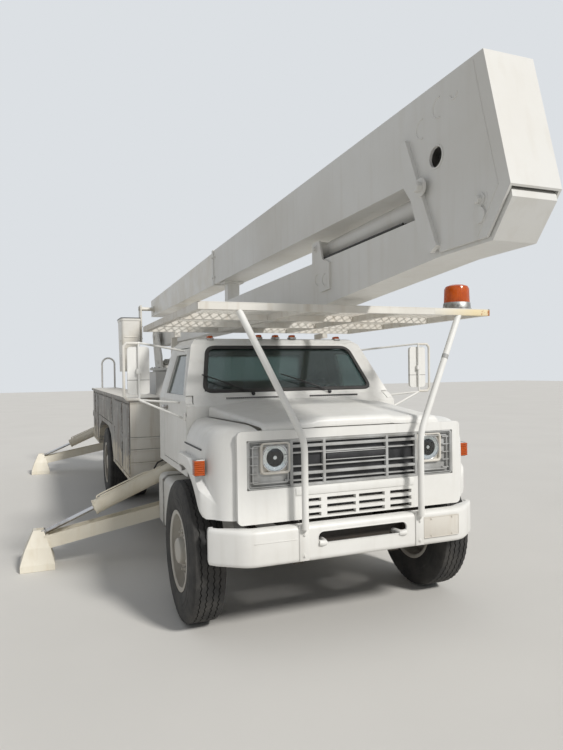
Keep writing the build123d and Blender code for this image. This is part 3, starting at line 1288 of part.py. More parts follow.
def jack_barrel(y):
    """The left stand's jack: barrel and root eye, bored for its rod."""
    root = (JACK_ROOT_X, y, JACK_ROOT_Z)
    tube = bar(jack_point(y, STAND_PIN + 10), jack_point(y, JACK_BARREL), JACK_RADIUS)
    lug = y_eye(*root, JACK_RADIUS, STAND_PIN + 26)
    line_low, line_high = jack_point(y, JACK_BARREL - 60), jack_point(y, 260)
    rise = JACK_RADIUS + 8
    pipe = bar((line_low[0], y, line_low[2] + rise), (line_high[0], y, line_high[2] + rise), 11)
    body = joined(tube, lug, pipe)
    body = body - bar((root[0], y - 100, root[2]), (root[0], y + 100, root[2]), STAND_PIN + RUNNING)
    return body - bar(jack_point(y, 300), jack_point(y, JACK_BARREL + 30), JACK_ROD + RUNNING)


def jack_rod(y):
    """The left stand's jack rod, with its eye between the foot's cheeks."""
    length = math.hypot(FOOT_PIN_X - JACK_ROOT_X, FOOT_PIN_Z - JACK_ROOT_Z)
    rod = bar(jack_point(y, length - 700), jack_point(y, length), JACK_ROD)
    return joined(rod, y_eye(FOOT_PIN_X, y, FOOT_PIN_Z, 28, 30))


# Writing the pieces
def nodes():
    """Every piece by its node's name, in the front axle's frame."""
    table = {
        "frame": frame(),
        "engine_block": engine_block(),
        "front_axle": front_axle(),
        "rear_axle": rear_axle(),
        "drive_shaft": drive_shaft(),
        "side_tanks": both_sides(side_tank()),
        "cab_body": cab_body(),
        "cab_glass": cab_glass(),
        "cab_interior": cab_interior(),
        "fenders": both_sides(fender()),
        "front_panel": front_panel(),
        "grille": grille(),
        "headlamps": both_sides(headlamp()),
        "bumper": bumper(),
        "guard_tubes": both_sides(guard_tube()),
        "rack": rack(),
        "rack_deck": rack_deck(),
        "lamps": lamps(),
        "bins": both_sides(bin_side()),
        "deck": deck(),
        "tail_rails": tail_rails(),
        "pedestal": pedestal(),
        "stand_mounts": loose(*[stand_mount(y) for y in STAND_YS]),
        "hood": hood(),
        "turret": turret(),
        "lower_boom": lower_boom(),
        "upper_boom_steel": upper_boom_steel(),
        "upper_boom_insulated": upper_boom_insulated(),
        "buckets": buckets(),
    }
    table.update(boom_cylinders())
    table.update(sided_nodes())
    table.update(stand_nodes())
    return table


KNUCKLE_EYE = (-1807, 2800)     # y, z of the elbow cylinder's rod eye
LIFT_BARREL = 1000
ELBOW_BARREL = 1200


def boom_cylinders():
    """The lift and elbow cylinders' barrels and rods."""
    lift, bracket = LIFT_BASE, (BRACKET_Y, BRACKET_Z)
    return {
        "lift_barrel": cylinder_barrel(lift, LIFT_EYE, LIFT_BARREL, 68, 38, LIFT_PIN, 120),
        "lift_rod": cylinder_rod(lift, LIFT_EYE, 200, 38, 44, LIFT_LUG_INNER - 8),
        "elbow_barrel": cylinder_barrel(bracket, KNUCKLE_EYE, ELBOW_BARREL, 68, 38, LIFT_PIN, 112),
        "elbow_rod": cylinder_rod(bracket, KNUCKLE_EYE, 170, 38, 50, 100),
    }


def sided_nodes():
    """Doors, knuckles and wheels of both sides."""
    door, glass = door_left(), door_glass_left()
    table = {}
    for name, side in (("left", 1), ("right", -1)):
        table[f"door_{name}"] = door if side > 0 else mirrored(door)
        table[f"door_glass_{name}"] = glass if side > 0 else mirrored(glass)
        table[f"knuckle_{name}"] = knuckle(side)
        table[f"wheel_front_{name}"] = front_wheel(side)
        table[f"tyre_front_{name}"] = tyre(side * TRACK / 2)
        table[f"wheels_rear_{name}"] = rear_wheels(side)
        pair = [tyre(side * (REAR_TRACK / 2 + at * DUAL_SPACING / 2)) for at in (-1, 1)]
        table[f"tyres_rear_{name}"] = Pos(0, WHEELBASE, 0) * loose(*pair)
    return table


def stand_nodes():
    """Leg, jack barrel and jack rod of each of the four stands."""
    table = {}
    for place, y in zip(("front", "rear"), STAND_YS):
        pieces = (("leg", stand_leg(y)), ("jack", jack_barrel(y)), ("jack_rod", jack_rod(y)))
        for kind, piece in pieces:
            table[f"stand_{kind}_{place}_left"] = piece
            table[f"stand_{kind}_{place}_right"] = mirrored(piece)
    return table


FRONT_REACH = -KNUCKLE_NOSE[0]
REAR_REACH = STAND_YS[1] + FOOT_HALF
MIDDLE = (REAR_REACH - FRONT_REACH) / 2

os.makedirs("parts", exist_ok=True)
for node, shape in nodes().items():
    moved = Pos(0, -MIDDLE, 0) * shape
    solids = moved.solids()
    export_step(Compound(children=solids) if len(solids) > 1 else solids[0], f"parts/{node}.step")
    print(node, len(solids), "solids", round(moved.volume / 1e9, 4), "cubic metres")
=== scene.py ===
# %% [markdown]
# # A cherry picker truck in a studio
#
# The solids of the truck come ready made, with every joint in its place. This lesson dresses them:
# each cell gives one real surface its finish, or builds one real piece that the solids keep plain,
# such as tyre treads, lamps, mesh and bolts. All lengths are metres, and all pieces lie in the
# truck's own frame: X to its left, Y to its rear, Z up.

# %% Load the frame
import json
import math

import bmesh
import bpy
from mathutils import Matrix, Vector


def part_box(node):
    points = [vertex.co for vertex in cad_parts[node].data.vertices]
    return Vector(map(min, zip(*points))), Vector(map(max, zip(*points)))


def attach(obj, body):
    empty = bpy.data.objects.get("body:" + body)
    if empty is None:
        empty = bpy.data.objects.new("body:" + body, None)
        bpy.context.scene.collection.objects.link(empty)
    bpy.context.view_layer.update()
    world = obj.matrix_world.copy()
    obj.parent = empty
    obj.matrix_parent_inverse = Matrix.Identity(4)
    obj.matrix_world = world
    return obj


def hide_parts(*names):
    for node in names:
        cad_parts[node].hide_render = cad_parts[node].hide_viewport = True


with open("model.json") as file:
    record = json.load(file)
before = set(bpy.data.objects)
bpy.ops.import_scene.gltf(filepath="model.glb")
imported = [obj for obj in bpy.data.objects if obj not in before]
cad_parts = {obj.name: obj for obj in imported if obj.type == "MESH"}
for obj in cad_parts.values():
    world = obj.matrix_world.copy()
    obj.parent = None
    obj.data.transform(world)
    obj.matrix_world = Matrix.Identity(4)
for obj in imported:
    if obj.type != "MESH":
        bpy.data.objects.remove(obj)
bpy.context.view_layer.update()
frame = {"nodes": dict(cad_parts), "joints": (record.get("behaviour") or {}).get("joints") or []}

# %% [markdown]
# ## Measures taken from the frame
#
# A piece must sit on the solids whatever their size, so places are worked out from the frame's
# joints and boxes. Lengths along the truck are given from the front axle, as a truck's maker
# does, and one helper turns them into the frame's own Y.

# %% Measures
MM = 0.001
SIDES = {"left": 1, "right": -1}        # each side's direction along X
CORNERS = [f"{end}_{side_name}" for end in ("front", "rear") for side_name in SIDES]
places = {joint["name"]: joint.get("pos_m") for joint in frame["joints"]}
front_axle_y = places["spin_front_left"][1]
wheelbase = places["spin_rear_left"][1] - front_axle_y


def at(x, y, z):
    """A point from its place behind the front axle."""
    return Vector((x, y + front_axle_y, z))


def node_box(node):
    """A solid's lowest and highest corners, with Y counted from the front axle."""
    shift = Vector((0, front_axle_y, 0))
    return [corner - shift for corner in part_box(node)]


print("front axle at", front_axle_y, "wheelbase", round(wheelbase, 3))

# %% [markdown]
# ## The camera
#
# The photograph was taken by someone standing in front of the truck's right headlamp, holding the
# camera about at eye level and turned a little to the left. The camera's place was worked out from
# pieces of known size: the bumper, the lamps, the windscreen and the folded boom.

# %% Camera
CAMERA_PLACE = at(-2.0527, -4.5511, 1.8692)
CAMERA_YAW = math.radians(21.3184)      # from straight back towards the truck's left
CAMERA_PITCH = math.radians(-0.4286)
CAMERA_ROLL = math.radians(-0.8177)
CAMERA_LENS = 29.22                     # on a sensor 36 mm long

look = Vector((math.sin(CAMERA_YAW) * math.cos(CAMERA_PITCH),
               math.cos(CAMERA_YAW) * math.cos(CAMERA_PITCH), math.sin(CAMERA_PITCH)))
level_right = Vector((math.cos(CAMERA_YAW), -math.sin(CAMERA_YAW), 0))
level_up = level_right.cross(look)
right = math.cos(CAMERA_ROLL) * level_right + math.sin(CAMERA_ROLL) * level_up
up = -math.sin(CAMERA_ROLL) * level_right + math.cos(CAMERA_ROLL) * level_up

camera_data = bpy.data.cameras.new("camera")
camera_data.lens = CAMERA_LENS
camera_data.sensor_width = 36
camera_data.clip_end = 200
camera = bpy.data.objects.new("camera", camera_data)
bpy.context.scene.collection.objects.link(camera)
turn = Matrix((right, up, -look)).transposed().to_4x4()
camera.matrix_world = Matrix.Translation(CAMERA_PLACE) @ turn
bpy.context.scene.camera = camera
print("camera at", tuple(round(v, 3) for v in CAMERA_PLACE), "lens", CAMERA_LENS)

# %% [markdown]
# ## Colours and nodes
#
# Colours are written as a painter would pick them on a screen, in sRGB, while the renderer counts
# light, which is linear. One function turns one into the other. A node's socket takes a value, a
# hex colour, or another node to link to, so that a whole finish reads as a short list.


# %% Colour and node helpers
def linear(hex_colour):
    """A colour from its sRGB hex value, as the linear RGBA that shaders take."""
    shares = [int(hex_colour[i:i + 2], 16) / 255 for i in (1, 3, 5)]
    return [s / 12.92 if s <= 0.04045 else ((s + 0.055) / 1.055) ** 2.4 for s in shares] + [1.0]


def connect(node, inputs):
    """Gives a node's sockets their values, hex colours, or nodes and sockets to link to."""
    for key, value in inputs.items():
        if isinstance(value, bpy.types.Node):
            value = next(socket for socket in value.outputs if socket.enabled)
        if isinstance(value, bpy.types.NodeSocket):
            node.id_data.links.new(value, node.inputs[key])
        else:
            node.inputs[key].default_value = linear(value) if isinstance(value, str) else value


def add(tree, kind, inputs=None, **settings):
    """One shader node with its settings and links."""
    node = tree.nodes.new("ShaderNode" + kind)
    for name, value in settings.items():
        setattr(node, name, value)
    connect(node, inputs or {})
    return node


FACTOR, FIRST, SECOND = 0, 6, 7         # sockets of the Mix node when it mixes colours
finishes = {}


def new_finish(name, colour, roughness, **shader_values):
    """An empty material, kept by name: its node tree, its shader and the place on the object."""
    made = bpy.data.materials.new(name)
    made.use_nodes = True
    made.diffuse_color = linear(colour)
    finishes[name] = made
    tree = made.node_tree
    shader = tree.nodes["Principled BSDF"]
    named = {key.replace("_", " "): value for key, value in shader_values.items()}
    connect(shader, {"Base Color": colour, "Roughness": roughness, **named})
    return tree, shader, add(tree, "TexCoord").outputs["Object"]


def coat(tree, under, colour, cloud, start, full, most=1.0, least=0.0):
    """A colour laid over another, growing as a cloud rises from its start to its full value."""
    cover = add(tree, "MapRange", {"Value": cloud, "From Min": start, "From Max": full,
                                   "To Min": least, "To Max": most})
    return add(tree, "Mix", {FACTOR: cover, FIRST: under, SECOND: colour}, data_type="RGBA")


def grain(tree, place, scale, strength, depth):
    """A fine grain pressed into the surface."""
    speckle = add(tree, "TexNoise", {"Vector": place, "Scale": scale, "Detail": 2.0})
    return add(tree, "Bump", {"Height": speckle, "Strength": strength, "Distance": depth})


print("white paint is", [round(v, 3) for v in linear("#ECEBE6")])

# %% [markdown]
# ## Painted steel
#
# Most of the truck is sprayed enamel: a smooth film with a faint orange-peel, dulled by years of
# sun. Three things tell the eye that it is old paint. Rain carries dirt down in streaks, so one
# noise is stretched along Z. Stones and tools knock chips out of it, so a finer noise lets rust
# through above a threshold. Road dust settles on what is low, so a third mix grows towards the
# ground. Enamel is a clear resin with pigment in it, so its IOR is 1.5 and it isn't metallic.


# %% Painted steel
def painted(name, colour, dirt, streaks, chips, roughness=0.38, dust=0.35, patch_size=0.9):
    """Sprayed enamel on sheet steel, with streaks, chips and road dust."""
    tree, shader, place = new_finish(name, colour, roughness, IOR=1.5)
    patches = add(tree, "TexNoise", {"Vector": place, "Scale": 1 / patch_size, "Detail": 6.0,
                                     "Roughness": 0.6})
    faded = coat(tree, colour, dirt, patches, 0.35, 0.75, 0.35)
    stretched = add(tree, "Mapping", {"Vector": place, "Scale": (9.0, 9.0, 0.8)})
    runs = add(tree, "TexNoise", {"Vector": stretched, "Scale": 1.6, "Detail": 4.0})
    streaked = coat(tree, faded, dirt, runs, 0.52, 0.78, streaks)
    height = add(tree, "SeparateXYZ", {"Vector": place}).outputs["Z"]
    low_down = add(tree, "MapRange", {"Value": height, "From Min": 0.95, "From Max": 0.1,
                                      "To Max": dust})
    settled = add(tree, "Math", {0: low_down, 1: patches}, operation="MULTIPLY")
    dusty = add(tree, "Mix", {FACTOR: settled, FIRST: streaked, SECOND: "#8A7B66"}, data_type="RGBA")
    knocks = add(tree, "TexNoise", {"Vector": place, "Scale": 26.0, "Detail": 7.0, "Roughness": 0.72})
    bare_from = 0.80 - chips
    worn = coat(tree, dusty, "#6B4A34", knocks, bare_from, bare_from + 0.02)
    dull = add(tree, "MapRange", {"Value": patches, "From Min": 0.3, "From Max": 0.8,
                                  "To Min": roughness - 0.08, "To Max": roughness + 0.2})
    orange_peel = grain(tree, place, 110.0, 0.08, 1.5 * MM)
    connect(shader, {"Base Color": worn, "Roughness": dull, "Normal": orange_peel})


painted("white_enamel", "#E9E9E6", "#B9B4A8", streaks=0.2, chips=0.012)
painted("boom_enamel", "#DEDEDB", "#B7AE9C", streaks=0.18, chips=0.01, patch_size=1.6)
painted("stand_enamel", "#ECE7D8", "#C4B08A", streaks=0.25, chips=0.04, dust=0.22, roughness=0.5)
painted("rack_enamel", "#DDDBD4", "#A08A6C", streaks=0.35, chips=0.06, roughness=0.5)
painted("wheel_enamel", "#C4C2BB", "#766653", streaks=0.3, chips=0.08, dust=0.6, roughness=0.55)
painted("chassis_black", "#26262A", "#4B4338", streaks=0.4, chips=0.05, dust=0.8, roughness=0.6)
painted("deck_paint", "#6F706E", "#4A443B", streaks=0.3, chips=0.08, dust=0.5, roughness=0.65)
print("painted finishes:", sorted(finishes))

# %% [markdown]
# ## Peeled locker sides
#
# The lockers' sides have lost most of their white paint to the sun. What shows is grey primer on
# galvanised sheet, with brown stains that ran from the seams, and islands of paint with crisp
# borders. Islands come from a noise cut at a threshold, and the stains from a noise that is
# stretched downwards. Low down, where less sun falls, more of the cream undercoat is left, so a
# ramp over the height lets it through in ragged patches.

# %% Peeled paint on galvanised sheet
tree, shader, place = new_finish("peeled_primer", "#8F8D88", 0.62, IOR=1.5)
hanging = add(tree, "Mapping", {"Vector": place, "Scale": (1.0, 1.0, 0.45)})
clouds = add(tree, "TexNoise", {"Vector": hanging, "Scale": 6.5, "Detail": 9.0, "Roughness": 0.7})
islands = add(tree, "MapRange", {"Value": clouds, "From Min": 0.545, "From Max": 0.59, "To Max": 0.8})
zinc = add(tree, "TexNoise", {"Vector": place, "Scale": 30.0, "Detail": 3.0})
sheet_grey = add(tree, "Mix", {FACTOR: zinc, FIRST: "#7C7B78", SECOND: "#A3A19C"}, data_type="RGBA")
paint_left = add(tree, "Mix", {FACTOR: islands, FIRST: sheet_grey, SECOND: "#BDBAB3"}, data_type="RGBA")
height = add(tree, "SeparateXYZ", {"Vector": place}).outputs["Z"]
low_down = add(tree, "MapRange", {"Value": height, "From Min": 1.16, "From Max": 0.92,
                                  "To Min": -0.30, "To Max": 0.06})
kept = add(tree, "Math", {0: clouds, 1: low_down}, operation="ADD")
patched = coat(tree, paint_left, "#CBC2AE", kept, 0.46, 0.52, 0.75)
downwards = add(tree, "Mapping", {"Vector": place, "Scale": (7.0, 7.0, 0.9)})
runs = add(tree, "TexNoise", {"Vector": downwards, "Scale": 1.5, "Detail": 6.0, "Roughness": 0.65})
stained = coat(tree, patched, "#6D5541", runs, 0.5, 0.72, 0.8)
raised = add(tree, "Bump", {"Height": islands, "Strength": 0.25, "Distance": 0.6 * MM})
connect(shader, {"Base Color": stained, "Normal": raised})
print("peeled primer made")

# %% [markdown]
# ## The rack's worn end
#
# The rack's front beam yellows towards its left end, where water stands, and rust breaks through
# in the last hand's breadth. Both follow the distance from the truck's middle, so two ramps along
# X drive them, and a noise gives the rust its ragged border.

# %% Yellowed and rusted enamel
tree, shader, place = new_finish("rusted_enamel", "#E0D8C2", 0.55, IOR=1.5)
across = add(tree, "SeparateXYZ", {"Vector": place}).outputs["X"]
aged = coat(tree, "#DCDAD2", "#E3D4AE", across, 0.62, 1.0)
pits = add(tree, "TexNoise", {"Vector": place, "Scale": 34.0, "Detail": 7.0, "Roughness": 0.7})
reach = add(tree, "MapRange", {"Value": across, "From Min": 0.98, "From Max": 1.14,
                               "To Min": -0.22, "To Max": 0.06})
weighed = add(tree, "Math", {0: pits, 1: reach}, operation="ADD")
rusted = coat(tree, aged, "#A8652F", weighed, 0.49, 0.55)
connect(shader, {"Base Color": rusted})
print("rusted enamel made")

# %% [markdown]
# ## Bare and plated metals
#
# A cylinder's rod is hard chrome, ground along its length and kept wet with oil. Bolts and pins are
# zinc-plated steel that has gone dull. Lamp bowls are vapour-coated aluminium. A metal keeps the default IOR,
# and its colour comes from its base colour alone.


# %% Metals
def bare_metal(name, colour, stain, roughness, scale, spread=0.15):
    """A metal with uneven shine and stains of one colour."""
    tree, shader, place = new_finish(name, colour, roughness, Metallic=1.0)
    cloud = add(tree, "TexNoise", {"Vector": place, "Scale": scale, "Detail": 6.0})
    dull = add(tree, "MapRange", {"Value": cloud, "From Min": 0.3, "From Max": 0.8,
                                  "To Min": roughness, "To Max": roughness + spread})
    connect(shader, {"Base Color": coat(tree, colour, stain, cloud, 0.45, 0.75), "Roughness": dull})


bare_metal("rod_chrome", "#C9C9CB", "#8C8478", 0.14, 9.0)
bare_metal("zinc_steel", "#A8A8A6", "#6F6357", 0.42, 30.0)
bare_metal("lamp_bowl", "#E2E2E2", "#C8C8C8", 0.08, 12.0, spread=0.05)
bare_metal("oily_iron", "#5A5753", "#33302C", 0.5, 14.0)
print("metals made")

# %% [markdown]
# ## Tyre rubber
#
# Carbon-black rubber is never quite black: it greys with age, and dust sits on the sidewall and
# in the grooves. The dust follows a coarse noise, and the rubber's fine grain is a weak bump. Its
# real grain is under half a millimetre, too fine to show, so it is drawn at about three.

# %% Rubber
tree, shader, place = new_finish("tyre_rubber", "#2B2A29", 0.82, IOR=1.52)
dust_cloud = add(tree, "TexNoise", {"Vector": place, "Scale": 7.0, "Detail": 7.0, "Roughness": 0.65})
connect(shader, {"Base Color": coat(tree, "#262626", "#6C6862", dust_cloud, 0.4, 0.8, 0.4, 0.04),
                 "Normal": grain(tree, place, 1 / (3 * MM), 0.2, 0.5 * MM)})

tree, shader, place = new_finish("window_rubber", "#1B1B1C", 0.6, IOR=1.52)
bloom = add(tree, "TexNoise", {"Vector": place, "Scale": 12.0, "Detail": 4.0})
greyed = add(tree, "Mix", {FACTOR: bloom, FIRST: "#161617", SECOND: "#3A3835"}, data_type="RGBA")
connect(shader, {"Base Color": greyed})
print("rubbers made")

# %% [markdown]
# ## Plastics
#
# The grille insert is black ABS, chalky with age. The insulated boom and the buckets are glass
# fibre in polyester with a white gelcoat: glossy once, now satin, with the fibres' cloud just
# under the skin. Lamp lenses are acrylic, coloured right through, which a little transmission
# and a low roughness give.


# %% Moulded plastics
def moulded(name, colour, second, roughness, scale, **shader_values):
    """A moulded plastic with a slight cloud of a second tone and a fine texture."""
    tree, shader, place = new_finish(name, colour, roughness, IOR=1.49, **shader_values)
    cloud = add(tree, "TexNoise", {"Vector": place, "Scale": scale, "Detail": 6.0, "Roughness": 0.6})
    connect(shader, {"Base Color": coat(tree, colour, second, cloud, 0.4, 0.75),
                     "Normal": grain(tree, place, 1 / (5 * MM), 0.12, 0.3 * MM)})


moulded("black_abs", "#1C1D1E", "#37373A", 0.55, 8.0)
moulded("grey_abs", "#B2B3B2", "#8C8B87", 0.42, 6.0)
moulded("gelcoat", "#E2E0DA", "#CFC8B8", 0.36, 2.2)
moulded("amber_acrylic", "#D9600F", "#B8480A", 0.16, 20.0, Transmission_Weight=0.35)
moulded("clear_acrylic", "#F6F9F9", "#EAF0F0", 0.04, 20.0, Transmission_Weight=1.0)
moulded("red_acrylic", "#A3140F", "#7C0D0C", 0.14, 20.0, Transmission_Weight=0.3)
moulded("dash_vinyl", "#2A2B2E", "#3C3D40", 0.7, 5.0)
print("plastics made")

# %% [markdown]
# ## Glass and seat vinyl
#
# Laminated windscreen glass is faintly green and 6 mm thick. A cab window mostly shows the sky
# and the dark cab behind it, so the pane is thin glass with a smoked tint. Glass and mirror both
# carry a film of dust that dulls them in clouds. The bench is black vinyl, embossed with a
# leather-like grain of small cells about 2 mm across. That is too fine to show from where the
# camera stands, so the cells are drawn at 6 mm.

# %% Glass and vinyl
for name, colour, clean, cloud_scale, dullest, values in (
        ("window_glass", "#8FA09D", 0.03, 3.0, 0.22, {"IOR": 1.52, "Transmission_Weight": 0.92}),
        ("mirror_glass", "#D9DDDE", 0.02, 9.0, 0.15, {"Metallic": 1.0})):
    tree, shader, place = new_finish(name, colour, clean, **values)
    film = add(tree, "TexNoise", {"Vector": place, "Scale": cloud_scale, "Detail": 5.0})
    haze = add(tree, "MapRange", {"Value": film, "From Min": 0.4, "From Max": 0.9,
                                  "To Min": 0.02, "To Max": dullest})
    connect(shader, {"Roughness": haze})

tree, shader, place = new_finish("seat_vinyl", "#26262A", 0.52, IOR=1.5)
cells = add(tree, "TexVoronoi", {"Vector": place, "Scale": 1 / (6 * MM)})
embossed = add(tree, "Bump", {"Height": cells, "Strength": 0.3, "Distance": 0.5 * MM})
wear = add(tree, "TexNoise", {"Vector": place, "Scale": 4.0, "Detail": 5.0})
rubbed = add(tree, "Mix", {FACTOR: wear, FIRST: "#1E1E21", SECOND: "#3D3C3E"}, data_type="RGBA")
connect(shader, {"Base Color": rubbed, "Normal": embossed})
print("glass and vinyl made")

# %% [markdown]
# ## Finishes on the solids
#
# Every solid that keeps its own shape gets its finish here. The table reads as a paint plan.

# %% Paint plan
PAINT_PLAN = {
    "chassis_black": ["frame", "front_axle", "rear_axle", "drive_shaft", "knuckle_left", "knuckle_right"],
    "oily_iron": ["engine_block"],
    "white_enamel": ["cab_body", "fenders", "front_panel", "bumper", "guard_tubes", "hood", "door_left",
                     "door_right", "side_tanks", "tail_rails"],
    "window_glass": ["cab_glass", "door_glass_left", "door_glass_right"],
    "dash_vinyl": ["cab_interior"],
    "black_abs": ["grille"],
    "clear_acrylic": ["headlamps"],
    "amber_acrylic": ["lamps"],
    "rack_enamel": ["rack", "rack_deck"],
    "peeled_primer": ["bins"],
    "deck_paint": ["deck"],
    "boom_enamel": ["pedestal", "turret", "lower_boom", "upper_boom_steel", "lift_barrel", "elbow_barrel"],
    "gelcoat": ["upper_boom_insulated", "buckets"],
    "rod_chrome": ["lift_rod", "elbow_rod"] + [f"stand_jack_rod_{corner}" for corner in CORNERS],
    "wheel_enamel": ["wheel_front_left", "wheel_front_right", "wheels_rear_left", "wheels_rear_right"],
    "tyre_rubber": ["tyre_front_left", "tyre_front_right", "tyres_rear_left", "tyres_rear_right"],
    "stand_enamel": ["stand_mounts"] + [f"stand_{kind}_{corner}" for kind in ("leg", "jack")
                                        for corner in CORNERS],
}
for finish, nodes in PAINT_PLAN.items():
    for node in nodes:
        mesh = frame["nodes"][node].data
        mesh.materials.clear()
        mesh.materials.append(finishes[finish])
print("painted solids:", sum(map(len, PAINT_PLAN.values())), "of", len(frame["nodes"]))

# %% [markdown]
# ## Building pieces
#
# Real pieces are bent sheet, turned parts, tubes and bolts. A few helpers make these forms inside
# one mesh, so that a row of bolts or a whole louvre is a single piece. Every edge that the light
# can catch gets a small bevel, because no real edge is perfectly sharp.


# %% Blocks and rings
def sheet_box(bm, low, high, bevel=0.003):
    """A block between two corners with its edges rounded off."""
    size = [max(h - l, 1e-5) for l, h in zip(low, high)]
    middle = Vector([(l + h) / 2 for l, h in zip(low, high)])
    made = bmesh.ops.create_cube(bm, size=1.0)
    for corner in made["verts"]:
        corner.co = Vector([c * s for c, s in zip(corner.co, size)]) + middle
    edges = {edge for corner in made["verts"] for edge in corner.link_edges}
    width = min(bevel, min(size) * 0.45)
    bmesh.ops.bevel(bm, geom=list(edges), offset=width, segments=2, profile=0.5, affect="EDGES")


def panel_box(bm, x0, x1, y0, y1, z0, z1, bevel=0.003):
    """A block given from the front axle, its X and Y limits in any order."""
    sheet_box(bm, at(min(x0, x1), min(y0, y1), z0), at(max(x0, x1), max(y0, y1), z1), bevel)


def angles(count):
    """Even steps round a full turn, in radians."""
    return [2 * math.pi * i / count for i in range(count)]


def square_to(along):
    """A level direction square to another one."""
    return along.cross(Vector((0, 0, 1)) if abs(along.z) < 0.9 else Vector((1, 0, 0))).normalized()


def ring_points(centre, along, radius, sides):
    """Points round a centre, square to a direction."""
    along = along.normalized()
    side = square_to(along)
    lift = side.cross(along)
    return [centre + radius * (math.cos(a) * side + math.sin(a) * lift) for a in angles(sides)]


def skin_rings(bm, rings, ends="capped"):
    """Faces between rings of points. The first and last ring are capped, or joined, or left open."""
    rows = [[bm.verts.new(point) for point in ring] for ring in rings]
    if ends == "capped":
        bm.faces.new(rows[0][::-1])
        bm.faces.new(rows[-1])
    elif ends == "joined":
        rows.append(rows[0])
    for first, second in zip(rows, rows[1:]):
        for i in range(len(first)):
            j = (i + 1) % len(first)
            bm.faces.new((first[i], first[j], second[j], second[i]))


print("blocks, rings and skins ready")


# %% Tubes, turned pieces and bolts
def tube(bm, points, radius, sides=14):
    """A round tube through points, mitred at each bend."""
    points = [Vector(point) for point in points]
    runs = [(end - start).normalized() for start, end in zip(points, points[1:])]
    rings, side = [], None
    for i, point in enumerate(points):
        before, after = runs[max(i - 1, 0)], runs[min(i, len(runs) - 1)]
        mean = (before + after).normalized()
        side = square_to(mean) if side is None else (side - side.dot(mean) * mean).normalized()
        lift = mean.cross(side)
        fold = after - before
        fold = fold.normalized() if fold.length > 1e-4 else Vector()
        stretch = 1 / max(0.5, mean.dot(after)) - 1
        spokes = [math.cos(a) * side + math.sin(a) * lift for a in angles(sides)]
        rings.append([point + radius * (spoke + fold * spoke.dot(fold) * stretch) for spoke in spokes])
    skin_rings(bm, rings)


def turned(bm, profile, centre, along, steps=40):
    """A turned piece: a profile of (distance along the axis, radius) spun round it."""
    along = Vector(along).normalized()
    skin_rings(bm, [ring_points(Vector(centre) + along * place, along, max(radius, 1e-4), steps)
                    for place, radius in profile])


def hex_bolt(bm, centre, out, size=0.019):
    """A bolt's chamfered hexagon head on its washer, facing the given way."""
    turned(bm, [(0, size * 0.95), (size * 0.14, size * 0.95), (size * 0.14, size * 0.5)], centre, out, 20)
    turned(bm, [(size * 0.12, 0.56 * size), (size * 0.62, 0.56 * size), (size * 0.74, 0.46 * size)],
           centre, out, 6)


def bend(start, corner, end, shares):
    """Points on the smooth bend that a corner pulls out between two places."""
    return [start * (1 - t) ** 2 + corner * 2 * t * (1 - t) + end * t ** 2 for t in shares]


print("tubes, turned pieces, bolts and bends ready")

# %% Place a piece
SMOOTH_UNDER = math.radians(32)


def linked(name, mesh):
    """An object with its mesh, put in the scene."""
    made = bpy.data.objects.new(name, mesh)
    bpy.context.scene.collection.objects.link(made)
    return made


def place_piece(name, bm, finish, body="chassis", replaced=(), smooth=True):
    """Turns the mesh in work into an object that rides on a body."""
    bmesh.ops.recalc_face_normals(bm, faces=bm.faces)
    mesh = bpy.data.meshes.new(name)
    bm.to_mesh(mesh)
    bm.free()
    mesh.materials.append(finishes[finish])
    if smooth:
        mesh.shade_smooth()
        mesh.set_sharp_from_angle(angle=SMOOTH_UNDER)
    made = linked(name, mesh)
    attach(made, body)
    if replaced:
        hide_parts(*replaced)


print("edges are sharp above", round(math.degrees(SMOOTH_UNDER)), "degrees")

# %% [markdown]
# ## Floor, backdrop and light
#
# A big truck is photographed in a white cove: a pale floor that runs into a pale background, one
# large soft lamp high on the truck's left front, as the low sun stood, and even light from all
# round. The background that the camera, the glass and the chrome see is set apart from the light
# that falls on the truck, so that it can be pale without washing out the paint.

# %% Floor and light
FLOOR_HALF, FLOOR_Z = 60.0, -0.002
floor_mesh = bpy.data.meshes.new("studio_floor")
floor_corners = [(x * FLOOR_HALF, y * FLOOR_HALF, FLOOR_Z) for x, y in ((-1, -1), (1, -1), (1, 1), (-1, 1))]
floor_mesh.from_pydata(floor_corners, [], [(0, 1, 2, 3)])
floor = linked("studio_floor", floor_mesh)
tree, shader, place = new_finish("studio_paint", "#D6D4CF", 0.85)
scuffs = add(tree, "TexNoise", {"Vector": place, "Scale": 0.6, "Detail": 5.0})
scuffed = add(tree, "Mix", {FACTOR: scuffs, FIRST: "#DAD8D3", SECOND: "#D0CEC9"}, data_type="RGBA")
connect(shader, {"Base Color": scuffed})
floor_mesh.materials.append(finishes["studio_paint"])

world = bpy.data.worlds.new("studio")
bpy.context.scene.world = world
world.use_nodes = True
tree = world.node_tree
tree.nodes.clear()
path = add(tree, "LightPath").outputs
direct = add(tree, "Math", {0: path["Is Camera Ray"], 1: path["Is Glossy Ray"]}, operation="ADD")
seen = add(tree, "Math", {0: direct, 1: path["Is Transmission Ray"]}, operation="ADD", use_clamp=True)
light = add(tree, "Background", {"Color": "#F2F5FA", "Strength": 0.40})
cove = add(tree, "Background", {"Color": "#DCE0E4", "Strength": 1.0})
both = add(tree, "MixShader", {0: seen, 1: light, 2: cove})
add(tree, "OutputWorld", {"Surface": both})

